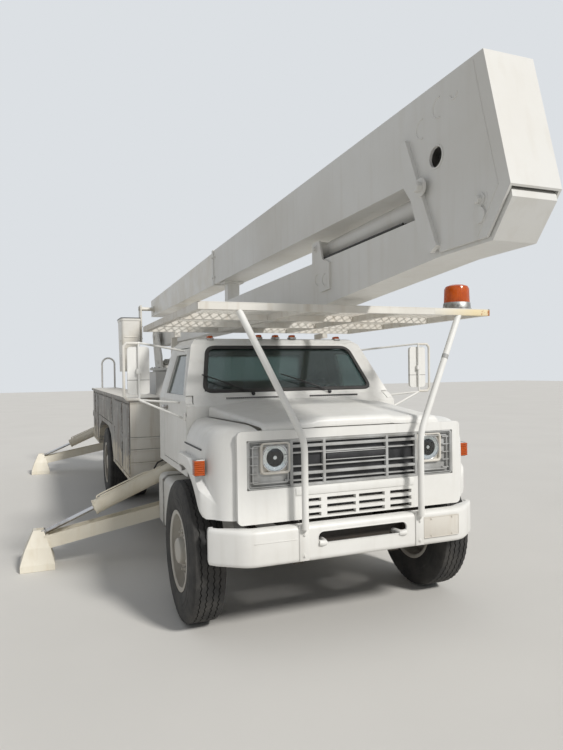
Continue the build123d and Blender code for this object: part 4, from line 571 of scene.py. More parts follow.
SUN_FROM = Vector((0.36, -0.86, 0.74))      # towards the lamp: the truck's left, its front, and up
sun_data = bpy.data.lights.new("softbox", "SUN")
sun_data.energy = 2.75
sun_data.angle = math.radians(9)
sun_data.color = (1.0, 0.975, 0.94)
linked("softbox", sun_data).rotation_euler = SUN_FROM.to_track_quat("Z", "Y").to_euler()
bpy.context.scene.view_settings.view_transform = "Standard"
print("floor, background and one soft lamp")

# %% [markdown]
# ## Tyres
#
# A truck's highway tyre has four zigzag grooves between five ribs, a square shoulder and a
# sidewall that bulges where the tyre meets its load. Its cross-section is spun round the axle, and
# the groove's walls swing sideways as they go round, which makes the zigzag. The rubber is 1.05 m
# across, its grooves are 9 mm wide and 12 mm deep, and there are 60 zigzags round it.

# %% Tyres
TYRE_RADIUS = places["spin_front_left"][2]
TREAD_HALF = 0.101
GROOVE_WIDTH, GROOVE_DEPTH = 9 * MM, 12 * MM
ZIGZAGS, SWING, SHOULDER_NOTCH = 60, 5 * MM, 4.5 * MM
SIDEWALL = [(0.096, 0.2862), (0.112, 0.292), (0.118, 0.312), (0.128, 0.345), (0.1305, 0.385),
            (0.1305, 0.392), (0.1285, 0.394), (0.1285, 0.43), (0.1265, 0.432), (0.123, 0.468),
            (0.1165, 0.49), (0.114, 0.503)]     # distance from the middle, radius
TWIN = {"front": "", "rear": "s"}               # the rear axle's names are plural, for its twin wheels
rear_low, rear_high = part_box("tyres_rear_left")
dual_spacing = rear_high.x - rear_low.x - 2 * max(x for x, radius in SIDEWALL)


def round_axle(centre, x, radius, angle):
    """A point round an axle along X."""
    return centre + Vector((x, radius * math.sin(angle), radius * math.cos(angle)))


def spin_outline(bm, centre, outlines, steps):
    """A ring round an axle along X. Its (place, radius) outlines take turns from step to step."""
    skin_rings(bm, [[round_axle(centre, x, radius, angle) for x, radius in outlines[i % len(outlines)]]
                    for i, angle in enumerate(angles(steps))], "joined")


def tyre_outline(sway, notch):
    """The tyre from bead to bead, with its grooves swung sideways and its shoulder notched."""
    side = SIDEWALL + [(TREAD_HALF, TYRE_RADIUS - 3.5 * MM - notch)]
    tread = []
    for middle in (0.066, 0.023, -0.023, -0.066):
        crown = TYRE_RADIUS - 3 * MM * abs(middle) / TREAD_HALF
        tread += [(middle + sway + share * GROOVE_WIDTH, crown - depth)
                  for share, depth in ((0.5, 0), (0.25, GROOVE_DEPTH), (-0.25, GROOVE_DEPTH), (-0.5, 0))]
    return side + tread + [(-x, radius) for x, radius in side[::-1]]


def tyre_middles(end, side_name):
    """The middle of each tyre at one end of an axle: one in front, two behind."""
    middle = Vector(places[f"spin_{end}_{side_name}"])
    half_gap = Vector((dual_spacing / 2, 0, 0))
    return [middle] if end == "front" else [middle - half_gap, middle + half_gap]


for side_name in SIDES:
    for end, plural in TWIN.items():
        bm = bmesh.new()
        for middle in tyre_middles(end, side_name):
            spin_outline(bm, middle, (tyre_outline(-SWING, 0), tyre_outline(SWING, SHOULDER_NOTCH)),
                         2 * ZIGZAGS)
        tyre = f"tyre{plural}_{end}_{side_name}"
        place_piece(f"road_{tyre}", bm, "tyre_rubber", f"wheel{plural}_{end}_{side_name}", [tyre])
print("six tyres,", ZIGZAGS, "zigzags each, pairs", round(dual_spacing, 3), "m apart")

# %% [markdown]
# ## Wheel nuts, hub caps and rim flanges
#
# A heavy truck's wheel is clamped by ten nuts on a ring 285.75 mm across. They stand on the disc
# round the hub's bore. The rim's rolled flange holds the tyre's bead, and it catches the light as
# a bright ring.

# %% Wheel fittings
NUT_RING, NUTS = 285.75 * MM / 2, 10
FLANGE = [(0.104, 0.268), (0.112, 0.268), (0.119, 0.276), (0.1215, 0.290), (0.1185, 0.3005),
          (0.1155, 0.2995), (0.1165, 0.289), (0.110, 0.281), (0.104, 0.2795)]
FRONT_CAP = [(0, 0.094), (0.012, 0.092), (0.022, 0.078), (0.026, 0.03), (0.026, 0.001)]
REAR_CAP = [(0, 0.108), (0.01, 0.104), (0.018, 0.085), (0.02, 0.001)]
DISC_AND_CAP = {"front": (0.048, 0.106, FRONT_CAP),      # how far out the disc's face and the cap lie
                "rear": (dual_spacing / 2 - 0.097, dual_spacing / 2 + 0.092, REAR_CAP)}

for side_name, side in SIDES.items():
    for end, (face, cap_at, cap) in DISC_AND_CAP.items():
        bm = bmesh.new()
        for middle in tyre_middles(end, side_name):
            for outward in (-1, 1):
                spin_outline(bm, middle, [[(outward * x, radius) for x, radius in FLANGE]], 64)
        hub = Vector(places[f"spin_{end}_{side_name}"])
        for angle in angles(NUTS):
            spot = round_axle(hub, side * face, NUT_RING, angle)
            hex_bolt(bm, spot, (side, 0, 0), 0.034)
            turned(bm, [(0.02, 0.011), (0.042, 0.011), (0.045, 0.008)], spot, (side, 0, 0), 10)
        turned(bm, cap, hub + Vector((side * cap_at, 0, 0)), (side, 0, 0), 36)
        place_piece(f"wheel_fittings_{end}_{side_name}", bm, "wheel_enamel",
                    f"wheel{TWIN[end]}_{end}_{side_name}")
print("flanges, hub caps and", NUTS, "nuts on each wheel")

# %% [markdown]
# ## The rack's mesh deck
#
# Expanded metal is a steel sheet that is slit and stretched, so its strands zigzag and meet at
# flat bonds. Each row here is one ribbon that swings left and right, and the next row swings the
# other way, so that the two meet. The real diamond is about 75 by 34 mm, which the camera can
# see, so it is drawn at that size, with strands 6.5 mm wide.

# %% Mesh deck
DIAMOND_LONG, DIAMOND_SHORT, STRAND = 75 * MM, 34 * MM, 6.5 * MM
MESH_RIM = 12 * MM
low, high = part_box("rack_deck")
bottom, top = low.z, high.z - 2 * MM
columns = int((high.x - low.x - 0.02) / (DIAMOND_LONG / 2))
rows = int((high.y - low.y - 0.03) / DIAMOND_SHORT)
x_first = (low.x + high.x) / 2 - columns * DIAMOND_LONG / 4
bm = bmesh.new()
for row in range(rows):
    middle = low.y + 0.02 + (row + 0.5) * DIAMOND_SHORT
    sections = []
    for i in range(columns + 1):
        swing = DIAMOND_SHORT / 2 * (1 if (i + row) % 2 else -1)
        x, y = x_first + i * DIAMOND_LONG / 2, middle + swing * 0.94
        sections.append([Vector((x, y + way * STRAND / 2, z))
                         for way, z in ((-1, bottom), (1, bottom), (1, top), (-1, top))])
    skin_rings(bm, sections)
for x0, x1, y0, y1 in ((low.x, high.x, low.y, low.y + MESH_RIM), (low.x, high.x, high.y - MESH_RIM, high.y),
                       (low.x, low.x + MESH_RIM, low.y, high.y), (high.x - MESH_RIM, high.x, low.y, high.y)):
    sheet_box(bm, (x0, y0, bottom), (x1, y1, high.z), 0.001)
place_piece("rack_mesh", bm, "rack_enamel", replaced=["rack_deck"], smooth=False)
print("mesh deck:", rows, "rows of", columns, "strands")

# %% [markdown]
# ## Lamps
#
# The beacon is a ribbed amber drum on a grey base with three screws. The roof carries small
# amber marker lamps, which the law asks for on a wide truck, and each front fender has a square
# amber lamp. Lenses are moulded with fine ribs that spread the light, so the drum and the squares
# are modelled with ribs.


# %% Beacon
def round_post(centre, radius, angle, rise=0.0):
    """A point round an upright line."""
    return centre + Vector((radius * math.cos(angle), radius * math.sin(angle), rise))


RIBS, RIB_DEPTH = 40, 2 * MM
beacon_at = Vector((0.93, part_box("rack")[0].y + 0.122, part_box("rack_deck")[1].z))
bm = bmesh.new()
turned(bm, [(0, 0.112), (0.006, 0.112), (0.012, 0.104), (0.05, 0.102), (0.056, 0.098), (0.056, 0.05)],
       beacon_at, (0, 0, 1), 48)
for angle in angles(3):
    hex_bolt(bm, round_post(beacon_at, 0.106, angle, 0.03), (math.cos(angle), math.sin(angle), 0), 0.01)
place_piece("beacon_base", bm, "zinc_steel")
bm = bmesh.new()
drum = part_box("lamps")[1].z - beacon_at.z
rings = []
for rise, radius in ((0.050, 0.094), (0.060, 0.097), (drum - 0.035, 0.093), (drum - 0.014, 0.083),
                     (drum - 0.003, 0.055), (drum, 0.012)):
    groove = RIB_DEPTH if rise < drum - 0.02 else 0
    rings.append([round_post(beacon_at, radius - groove * (i % 2), angle, rise)
                  for i, angle in enumerate(angles(2 * RIBS))])
skin_rings(bm, rings)
place_piece("beacon_lens", bm, "amber_acrylic", replaced=["lamps"])
print("beacon with", RIBS, "ribs")

# %% Marker lamps
MARKER_XS = (-0.64, -0.17, 0.0, 0.17, 0.64)
ROOF_FRONT = 0.829
roof_top = node_box("cab_body")[1].z
fender_outer = node_box("fenders")[1].x
lenses, bases = bmesh.new(), bmesh.new()
for x in MARKER_XS:
    roof = roof_top - (0.012 if abs(x) > 0.5 else 0.0)
    panel_box(lenses, x - 0.026, x + 0.026, ROOF_FRONT, ROOF_FRONT + 0.07, roof - 0.012, roof + 0.024, 0.012)
    panel_box(bases, x - 0.030, x + 0.030, ROOF_FRONT - 0.004, ROOF_FRONT + 0.074, roof - 0.018, roof + 0.002)
for side in (-1, 1):
    panel_box(bases, side * (fender_outer - 0.050), side * (fender_outer + 0.022), -0.512, -0.452,
              1.158, 1.272, 0.006)
    for i in range(7):
        z = 1.165 + i * 0.0144
        panel_box(lenses, side * (fender_outer - 0.044), side * (fender_outer + 0.028), -0.526, -0.456,
                  z, z + 0.0138, 0.004)
place_piece("marker_lenses", lenses, "amber_acrylic")
place_piece("marker_bases", bases, "zinc_steel")
print("roof lamps:", len(MARKER_XS))

# %% [markdown]
# ## The face: frame, grille bars and lamp cells
#
# The truck's face is a pressed panel. Inside it, a light grey plastic grille stands before a dark hole. It
# has two thick bars across with thinner ones above, between and below them, and uprights that part it into
# cells. Its badge bar is left bare.


# %% Frames that face forwards
def rounded_loop(low, high, radius, steps=6):
    """A rectangle with rounded corners as (x, z) points."""
    (x0, z0), (x1, z1) = low, high
    corners = ((x1 - radius, z1 - radius, 0), (x0 + radius, z1 - radius, 90),
               (x0 + radius, z0 + radius, 180), (x1 - radius, z0 + radius, 270))
    return [(x + radius * math.cos(math.radians(start + 90 * i / steps)),
             z + radius * math.sin(math.radians(start + 90 * i / steps)))
            for x, z, start in corners for i in range(steps + 1)]


def framed(bm, low, high, width, front, back, radius=0.02, edge=0.003):
    """A rounded frame that faces forwards, width wide and open in its middle."""
    rings = []
    for inset, y in ((0, back), (0, front + edge), (edge, front), (width - edge, front),
                     (width, front + edge), (width, back)):
        loop = rounded_loop((low[0] + inset, low[1] + inset), (high[0] - inset, high[1] - inset),
                            max(radius - inset, 0.003))
        rings.append([at(x, y, z) for x, z in loop])
    skin_rings(bm, rings, "joined")


print("a rounded rectangle has", len(rounded_loop((0, 0), (1, 1), 0.1)), "points")

# %% Face and grille
face_low, face_high = node_box("front_panel")
grille_low, grille_high = node_box("grille")
front, back, depth_end = face_low.y, face_high.y, grille_high.y
x_edge, z_low, z_high = grille_high.x, grille_low.z, grille_high.z
height = z_high - z_low
CELL_X = 0.488                      # where the lamps' cells start
# Painted shade: two black plates stand for the dark hole behind the grille and behind the slots below it.
plate = bmesh.new()
panel_box(plate, -x_edge, x_edge, depth_end - 0.003, depth_end, z_low, z_high, 0.0005)
panel_box(plate, -x_edge + 0.02, x_edge - 0.02, back + 0.002, back + 0.004, face_low.z + 0.02, z_low, 0.0005)
place_piece("grille_shade_plate", plate, "black_abs")
bars = bmesh.new()
framed(bars, (-x_edge, z_low), (x_edge, z_high), 0.020, front + 0.002, depth_end, 0.028)
for share, half, lift in ((0.13, 0.005, 0.006), (0.27, 0.010, 0.002), (0.42, 0.005, 0.006),
                          (0.70, 0.005, 0.006), (0.84, 0.010, 0.002), (0.93, 0.004, 0.008)):
    z = z_low + share * height
    panel_box(bars, -0.505, 0.505, front + lift, depth_end, z - half, z + half)
for x in (-0.496, -0.250, 0.250, 0.496):
    panel_box(bars, x - 0.011, x + 0.011, front + 0.001, depth_end, z_low + 0.01, z_high - 0.01, 0.004)
for share in (0.50, 0.655):         # the thin bars below and above the badge bar
    z = z_low + share * height
    panel_box(bars, -0.25, 0.25, front + 0.004, depth_end, z, z + 0.02 * height, 0.002)
for side in (-1, 1):
    panel_box(bars, side * CELL_X, side * (x_edge - 0.004), depth_end - 0.006, depth_end - 0.0035,
              z_low + 0.006, z_high - 0.006, 0.001)
    inner, outer = sorted((side * CELL_X, side * (x_edge - 0.012)))
    for inset, lift in ((0.0, 0.002), (0.026, 0.006)):
        framed(bars, (inner + inset, z_low + 0.008 + inset), (outer - inset, z_high - 0.008 - inset), 0.010,
               front + lift, depth_end)
    for x in (side * 0.762, side * 0.515):
        for i in range(5):
            z = z_low + 0.05 + i * (height - 0.1) / 4
            panel_box(bars, x - 0.028, x + 0.028, front + 0.008, depth_end, z - 0.004, z + 0.004, 0.002)
place_piece("grille_bars", bars, "grey_abs", replaced=["grille"])
lip = bmesh.new()
panel_box(lip, -0.470, 0.470, front - 0.008, front + 0.004, z_low - 0.060, z_low - 0.006, 0.005)
place_piece("valance_lip", lip, "white_enamel")
badge = bmesh.new()
panel_box(badge, -0.232, 0.232, front + 0.001, depth_end - 0.01, z_low + 0.53 * height,
          z_low + 0.645 * height, 0.004)
place_piece("bare_badge_bar", badge, "black_abs")
print("grille: 8 bars, 4 uprights and a bare badge bar")

# %% [markdown]
# ## Headlamps
#
# Each lamp is a sealed round unit 178 mm across in a square bezel. Behind the lens lies a polished
# bowl with the bulb's cap in it, and the lens has upright flutes that spread the beam.

# %% Headlamps
LAMP_X, LAMP_Z = 0.610, sum(corner.z for corner in node_box("headlamps")) / 2
LENS_RADIUS = 178 * MM / 2
LENS_STEPS, LENS_RINGS, LENS_THICK = 48, 12, 2.5 * MM
DOME, FLUTE_DEPTH, FLUTE_STEP = 6 * MM, 0.5 * MM, 7.5 * MM
BEZEL = 0.112                       # half of the lamp's square bezel
AHEAD = (0, -1, 0)


def lens_point(middle, radius, angle, depth):
    """A point on the lens, which is domed, and fluted on its inner face."""
    x, z = radius * math.cos(angle), radius * math.sin(angle)
    bulge = DOME * (1 - (radius / LENS_RADIUS) ** 2)
    flute = 0 if depth else FLUTE_DEPTH * abs(math.sin(x / FLUTE_STEP * math.pi / 2))
    return middle + Vector((x, -0.0145 - bulge - depth - flute, z))


for side_name, side in reversed(SIDES.items()):
    middle = at(side * LAMP_X, back - 0.010, LAMP_Z)
    x, half = side * LAMP_X, BEZEL - 0.002
    bezel = bmesh.new()
    framed(bezel, (x - half, LAMP_Z - half), (x + half, LAMP_Z + half), 0.018, front + 0.002, back - 0.001,
           0.035, 0.005)
    turned(bezel, [(0.0, LENS_RADIUS + 0.014), (0.012, LENS_RADIUS + 0.013), (0.016, LENS_RADIUS + 0.008),
                   (0.014, LENS_RADIUS), (0.0, LENS_RADIUS)], middle, AHEAD, 48)
    for angle in map(math.radians, (45, 135, 225, 315)):
        reach = LENS_RADIUS + 0.024
        hex_bolt(bezel, middle + Vector((reach * math.cos(angle), 0, reach * math.sin(angle))), AHEAD, 0.008)
    panel = bmesh.new()
    half = BEZEL - 0.006
    panel_box(panel, x - half, x + half, back - 0.012, back - 0.004, LAMP_Z - half, LAMP_Z + half, 0.001)
    bowl = bmesh.new()
    turned(bowl, [(0.0, 0.004), (0.002, 0.016), (0.005, 0.03), (0.009, 0.055), (0.0135, LENS_RADIUS - 0.002),
                  (0.015, LENS_RADIUS - 0.001), (0.0145, LENS_RADIUS - 0.0005), (0.0, LENS_RADIUS - 0.001)],
           middle, AHEAD, 48)
    turned(bowl, [(0.004, 0.014), (0.012, 0.014), (0.014, 0.012), (0.014, 0.001)], middle, AHEAD, 24)
    ring = bmesh.new()
    turned(ring, [(0.010, LENS_RADIUS - 0.001), (0.018, LENS_RADIUS), (0.020, LENS_RADIUS + 0.003),
                  (0.018, LENS_RADIUS + 0.008), (0.010, LENS_RADIUS + 0.010)], middle, AHEAD, 48)
    lens = bmesh.new()
    shares = [k / LENS_RINGS for k in range(1, LENS_RINGS + 1)]
    skin_rings(lens, [[lens_point(middle, LENS_RADIUS * share, angle, depth) for angle in angles(LENS_STEPS)]
                      for share, depth in [(s, 0) for s in shares] + [(s, LENS_THICK) for s in shares[::-1]]])
    for kind, bm, finish in (("bezel", bezel, "rack_enamel"), ("back", panel, "rack_enamel"),
                             ("bowl", bowl, "lamp_bowl"), ("ring", ring, "rod_chrome"),
                             ("lens", lens, "clear_acrylic")):
        replaced = ["headlamps"] if kind == "bezel" and side < 0 else ()
        place_piece(f"headlamp_{kind}_{side_name}", bm, finish, replaced=replaced)
print("two headlamps,", 2 * LENS_RADIUS, "m across")

# %% [markdown]
# ## Bumper
#
# The bumper is a channel of thick steel with rolled edges, and its ends sweep back. Each section
# of it is one closed outline, swept along a path, and the slot in its middle is a flat skin between
# the slot's round-ended outline and the rolled edges.

# %% The bumper's section and path
bumper_low, bumper_high = node_box("bumper")
BUMPER_FACE = bumper_low.y
BUMPER_BEND = 0.835
SLOT_HALF, SLOT_Z, SLOT_HIGH = 0.345, 0.739, 0.074
MIDDLE_HALF = 0.455                 # half of the straight middle, with the slot
EDGE, WALL = 0.030, 0.006           # how softly the edges are rolled, and how thick the steel is
LOW_FLANGE, HIGH_FLANGE = 0.060, 0.084
QUARTER = [math.radians(90 * i / 5) for i in range(6)]


def rolled_edge(edge_z, up, roll):
    """Points of (how far back, height) round a rolled edge, from its flange to the upright face."""
    return [(EDGE - roll * math.sin(a), edge_z + up * (EDGE - roll * math.cos(a))) for a in QUARTER]


def bumper_profile():
    """Points of (how far back, height) round one wall of the rolled channel."""
    low, high = bumper_low.z, bumper_high.z
    outer = [(LOW_FLANGE, low)] + rolled_edge(low, 1, EDGE) + rolled_edge(high, -1, EDGE)[::-1]
    inner = [(HIGH_FLANGE, high - WALL)] + rolled_edge(high, -1, EDGE - WALL)
    inner += rolled_edge(low, 1, EDGE - WALL)[::-1] + [(LOW_FLANGE, low + WALL)]
    return outer + [(HIGH_FLANGE, high)] + inner


def bumper_path(side):
    """The bumper's front line from the slot's side round the swept end."""
    start, corner = (Vector((side * x, BUMPER_FACE)) for x in (BUMPER_BEND - 0.07, BUMPER_BEND + 0.01))
    end, tail = Vector((side * bumper_high.x, -0.640)), Vector((side * (bumper_high.x - 0.006), -0.585))
    return [Vector((side * MIDDLE_HALF, BUMPER_FACE)), start,
            *bend(start, corner, corner.lerp(end, 0.30), (0.2, 0.4, 0.6, 0.8, 1.0)),
            corner.lerp(end, 0.82), end.lerp(tail, 0.25), tail]


print("bumper:", len(bumper_profile()), "points a section")

# %% Bumper
bm = bmesh.new()
for side in (-1, 1):
    line = bumper_path(side)
    runs = [(end - start).normalized() for start, end in zip(line, line[1:])]
    rings = []
    for i, point in enumerate(line):
        along = (runs[max(i - 1, 0)] + runs[min(i, len(runs) - 1)]).normalized()
        reach = side * (1.0 if i < len(line) - 3 else 0.45)
        rings.append([at(point.x - along.y * depth * reach, point.y + along.x * depth * reach, z)
                      for depth, z in bumper_profile()])
    skin_rings(bm, rings)
for edge_z, up, flange in ((bumper_low.z, 1, LOW_FLANGE), (bumper_high.z, -1, HIGH_FLANGE)):
    outer = [(flange, edge_z)] + rolled_edge(edge_z, up, EDGE)
    inner = [(depth + WALL if depth < EDGE else depth, z + (WALL * up if z == edge_z or depth > 0.01 else 0))
             for depth, z in outer[::-1]]
    skin_rings(bm, [[at(x, BUMPER_FACE + depth, z) for depth, z in outer + inner]
                    for x in (-MIDDLE_HALF, MIDDLE_HALF)])
half_high = SLOT_HIGH / 2
slot = rounded_loop((-SLOT_HALF, SLOT_Z - half_high), (SLOT_HALF, SLOT_Z + half_high), half_high, 10)
rings = []
for y, grow in ((WALL, 0.0), (0.0, 0.0), (0.0, 1.0), (WALL, 1.0)):
    ring = []
    for x, z in slot:
        far_x = math.copysign(MIDDLE_HALF + 0.0005, x) if abs(x) > SLOT_HALF - half_high - 1e-4 else x
        far_z = bumper_high.z - EDGE if z > SLOT_Z else bumper_low.z + EDGE
        ring.append(at(x + (far_x - x) * grow, BUMPER_FACE + y, z + (far_z - z) * grow))
    rings.append(ring)
skin_rings(bm, rings, "joined")
place_piece("bumper_skin", bm, "white_enamel", replaced=["bumper"])
print("bumper skin with a slot", 2 * SLOT_HALF, "m wide")

# %% [markdown]
# ## Bumper fittings
#
# Hexagon bolts hold the guard tubes' foot plates, two tow hooks look out of the slot, and pressed
# lines stiffen the sheet. The guard tubes bend outwards on their way up to the rack. The number
# plate has its usual size of 305 by 152 mm, with its bolts and raised rim, and is left blank.

# %% Bumper fittings
TUBE_X, TUBE_Y = 0.453, -0.852      # where the guard tubes stand
TUBE_FOOT_Z, TUBE_BEND_Z = 0.812, 1.406
TUBE_HEAD = (0.865, -0.757, 2.266)
PLATE_X, PLATE_Z, PLATE_HALF, PLATE_HALF_HIGH = 0.640, 0.716, 305 * MM / 2, 152 * MM / 2
bm = bmesh.new()
rim = half_high + 0.008
framed(bm, (-SLOT_HALF - 0.008, SLOT_Z - rim), (SLOT_HALF + 0.008, SLOT_Z + rim), 0.008,
       BUMPER_FACE - 0.003, BUMPER_FACE + 0.012, rim)
for side in (-1, 1):
    x = side * TUBE_X
    for z in (0.773, 0.631):
        hex_bolt(bm, at(x, BUMPER_FACE - 0.009, z), AHEAD, 0.015)
    panel_box(bm, x - 0.034, x + 0.034, BUMPER_FACE - 0.009, BUMPER_FACE + 0.002, bumper_low.z + 0.012,
              bumper_high.z + 0.014)
    tube(bm, [at(side * x, BUMPER_FACE + y, z)
              for x, y, z in ((0.288, 0.090, 0.700), (0.294, 0.030, 0.700), (0.300, 0.006, 0.700),
                              (0.320, -0.0005, 0.701), (0.338, 0.004, 0.702))], 0.021, 16)
    panel_box(bm, side * 0.482, side * 0.800, BUMPER_FACE - 0.0035, BUMPER_FACE + 0.001, 0.742, 0.748, 0.002)
    panel_box(bm, side * 0.484, side * 0.490, BUMPER_FACE - 0.004, BUMPER_FACE + 0.001, bumper_low.z + 0.02,
              bumper_high.z - 0.02, 0.002)
place_piece("bumper_fittings", bm, "white_enamel")
bm = bmesh.new()
for side in (-1, 1):
    foot, knee = (at(side * TUBE_X, TUBE_Y, z) for z in (TUBE_FOOT_Z, TUBE_BEND_Z))
    head = at(side * TUBE_HEAD[0], *TUBE_HEAD[1:])
    curve = bend(knee.lerp(foot, 0.13), knee, knee.lerp(head, 0.09), (0, 0.2, 0.4, 0.6, 0.8, 1))
    tube(bm, [foot, *curve, head], 0.023, 24)
place_piece("guard_tubes_bent", bm, "white_enamel", replaced=["guard_tubes"])
# A grey band, darker than the tube's white paint, rings the left guard tube about two thirds of the way from
# its bend to the rack.
bm = bmesh.new()
turned(bm, [(0, 0.0225), (0.001, 0.0242), (0.034, 0.0242), (0.035, 0.0225)], knee.lerp(head, 0.62),
       head - knee, 32)
place_piece("guard_tube_band", bm, "grey_abs")
bm = bmesh.new()
panel_box(bm, -0.40, 0.40, BUMPER_FACE + 0.088, BUMPER_FACE + 0.094, bumper_low.z + 0.02,
          bumper_high.z - 0.012, 0.002)
place_piece("bumper_cross_member", bm, "chassis_black")
bm = bmesh.new()
plate_low = (PLATE_X - PLATE_HALF, PLATE_Z - PLATE_HALF_HIGH)
plate_high = (PLATE_X + PLATE_HALF, PLATE_Z + PLATE_HALF_HIGH)
panel_box(bm, plate_low[0], plate_high[0], BUMPER_FACE - 0.008, BUMPER_FACE - 0.0062, plate_low[1],
          plate_high[1], 0.0005)
framed(bm, plate_low, plate_high, 0.007, BUMPER_FACE - 0.0105, BUMPER_FACE - 0.006, 0.012, 0.001)
for x, z in ((-0.09, -0.060), (-0.09, 0.060), (0.09, -0.060), (0.09, 0.060)):
    hex_bolt(bm, at(PLATE_X + x, BUMPER_FACE - 0.009, PLATE_Z + z), AHEAD, 0.008)
place_piece("blank_number_plate", bm, "rack_enamel")
print("bumper fittings: 4 bolts, 2 tow hooks, 2 guard tubes and a blank plate")

# %% [markdown]
# ## Fenders
#
# A pressed fender has no flat face: its top rolls over a soft shoulder into its side, its nose
# turns in towards the lamps, and a flare stands out round the wheel arch to stop the spray. Each
# cross-section here is worked out from three rules: how wide the fender is at that place, how its
# shoulder rolls, and how far the point lies from the arch's edge. The sheet is closed with a
# return flange, as a real pressing is, so that its edge looks thick enough.

# %% A fender's section
fender_low, fender_high = node_box("fenders")
ARCH = 0.640
FLARE_OUT, FLARE_WIDTH = 0.062, 0.110
FENDER_SIDE = fender_high.x - FLARE_OUT + 0.004
FENDER_TOP, FENDER_BOTTOM = 1.494, fender_low.z
NOSE_START = -0.46                  # where the fender starts to turn in
SHOULDER_WIDE, SHOULDER_HIGH = 0.17, 0.235


def smooth_step(value, low, high):
    """0 below low, 1 above high and an even turn between them."""
    share = min(max((value - low) / (high - low), 0.0), 1.0)
    return share * share * (3 - 2 * share)


def flare(y, z):
    """How far the flare stands out at a place on the fender's side."""
    away = math.hypot(y, z - TYRE_RADIUS) - ARCH
    if y < -0.30 and z <= FENDER_BOTTOM + 1e-6:
        away = min(away, FLARE_WIDTH * 1.2)
    swell = FLARE_OUT * (1 - smooth_step(away, FLARE_WIDTH - 0.005, FLARE_WIDTH + 0.005))
    swell -= 0.006 * (1 - smooth_step(away, 0.0, 0.012))
    return swell * (1 - smooth_step(-y, 0.50, 0.60))


def fender_section(y, inset):
    """One cross-section from the hood's edge over the shoulder to the arch's edge."""
    nose = min(max((NOSE_START - y) / (NOSE_START - fender_low.y), 0.0), 1.0)
    tail = smooth_step(y, 0.12, fender_high.y)
    width = FENDER_SIDE - 0.195 * (1 - math.sqrt(max(0.0, 1 - nose ** 2))) - 0.062 * tail - inset
    inner = 0.722 + 0.09 * (y - fender_low.y) / (fender_high.y - fender_low.y) + inset * 0.2
    top = FENDER_TOP - 0.028 * nose ** 2 - inset
    roll = min(SHOULDER_WIDE, (width - inner) * 0.75)
    points = [(inner, top), (inner + (width - roll - inner) * 0.5, top - 0.003)]
    for angle in (math.radians(90 * i / 11) for i in range(12)):
        points.append((width - roll + roll * math.sin(angle) ** 0.85,
                       top - 0.006 - SHOULDER_HIGH * (1 - math.cos(angle) ** 0.85)))
    shoulder_z = points[-1][1]
    edge_z = FENDER_BOTTOM
    if abs(y) < ARCH:
        edge_z = max(edge_z, TYRE_RADIUS + math.sqrt(ARCH ** 2 - y ** 2))
    levels = []
    for away in (FLARE_WIDTH + 0.05, FLARE_WIDTH + 0.007, FLARE_WIDTH + 0.004, FLARE_WIDTH - 0.003,
                 FLARE_WIDTH - 0.008, 0.07, 0.045, 0.02, 0.008, 0.0):
        ring = ARCH + away
        z = TYRE_RADIUS + math.sqrt(ring ** 2 - y ** 2) if abs(y) < ring else FENDER_BOTTOM
        levels.append(max(z, edge_z))
    fall = min(levels[0], shoulder_z - 0.01) - shoulder_z
    points += [(width, shoulder_z + fall * i / 4) for i in range(1, 4)]
    for z in levels:
        z = min(z, shoulder_z - 0.008)
        points.append((width + flare(y, z), z))
    x, z = points[-1]
    return points + [(x - 0.010, z + 0.001), (x - 0.028, z + 0.004)]


print("a fender's section has", len(fender_section(0.0, 0.0)), "points")

# %% Fenders
nose_long = NOSE_START - fender_low.y
stations = [fender_low.y + nose_long * (1 - math.cos(math.radians(90 * i / 16))) for i in range(16)]
stations += [NOSE_START + (fender_high.y - 0.002 - NOSE_START) * i / 56 for i in range(57)]
for side_name, side in SIDES.items():
    bm = bmesh.new()
    rings = []
    for y in stations:
        inner = fender_section(y, 0.012)[:-2]
        inner[-1] = (inner[-1][0] - 0.012, inner[-1][1] + 0.012)
        rings.append([at(side * x, y, z) for x, z in fender_section(y, 0.0) + inner[::-1]])
    skin_rings(bm, rings)
    place_piece(f"fender_skin_{side_name}", bm, "white_enamel",
                replaced=["fenders"] if side > 0 else ())
bm = bmesh.new()
for side in (-1, 1):
    tube(bm, [at(side * (FENDER_SIDE + out), y, 1.318)
              for out, y in ((0.0005, -0.36), (0.0005, -0.1), (0.0005, 0.1), (-0.002, 0.17))], 0.006, 8)
place_piece("fender_side_trim", bm, "black_abs")
print("two fenders with a flare", FLARE_WIDTH, "m wide")

# %% [markdown]
# ## Hood
#
# The hood is one pressing with a raised middle that widens towards the windscreen, a rolled front
# edge and sides that fold down to the fenders. The raised middle stiffens the sheet and gives the
# two long creases that run from the grille to the wipers.

# %% Hood
HOOD_FRONT = node_box("hood")[0].y
HOOD_LONG = 0.318 - HOOD_FRONT
HOOD_THICK, HOOD_SEAM_Z = 0.016, 1.499


def hood_half(share):
    """Half of the hood's width, from its front at 0 to its rear at 1."""
    return 0.700 + 0.098 * share


def rolled_down(distance, radius):
    """How far an edge has rolled down, from its distance to the edge, as a share of the roll."""
    return 1 - math.sqrt(max(0.0, 1 - (max(0.0, radius - distance) / radius) ** 2))


def hood_height(x, depth):
    """The height of the hood's skin at a place behind its front edge."""
    share = depth / HOOD_LONG
    edge, crown = 1.512 + 0.068 * share, 1.526 + 0.090 * share
    crease = 0.30 + 0.20 * share
    return (crown - (crown - edge) * (abs(x) / hood_half(share)) ** 2.2
            + 0.012 * (1 - smooth_step(abs(x), crease - 0.012, crease + 0.030))
            - 0.034 * rolled_down(depth, 0.040) - 0.026 * rolled_down(hood_half(share) - abs(x), 0.030))


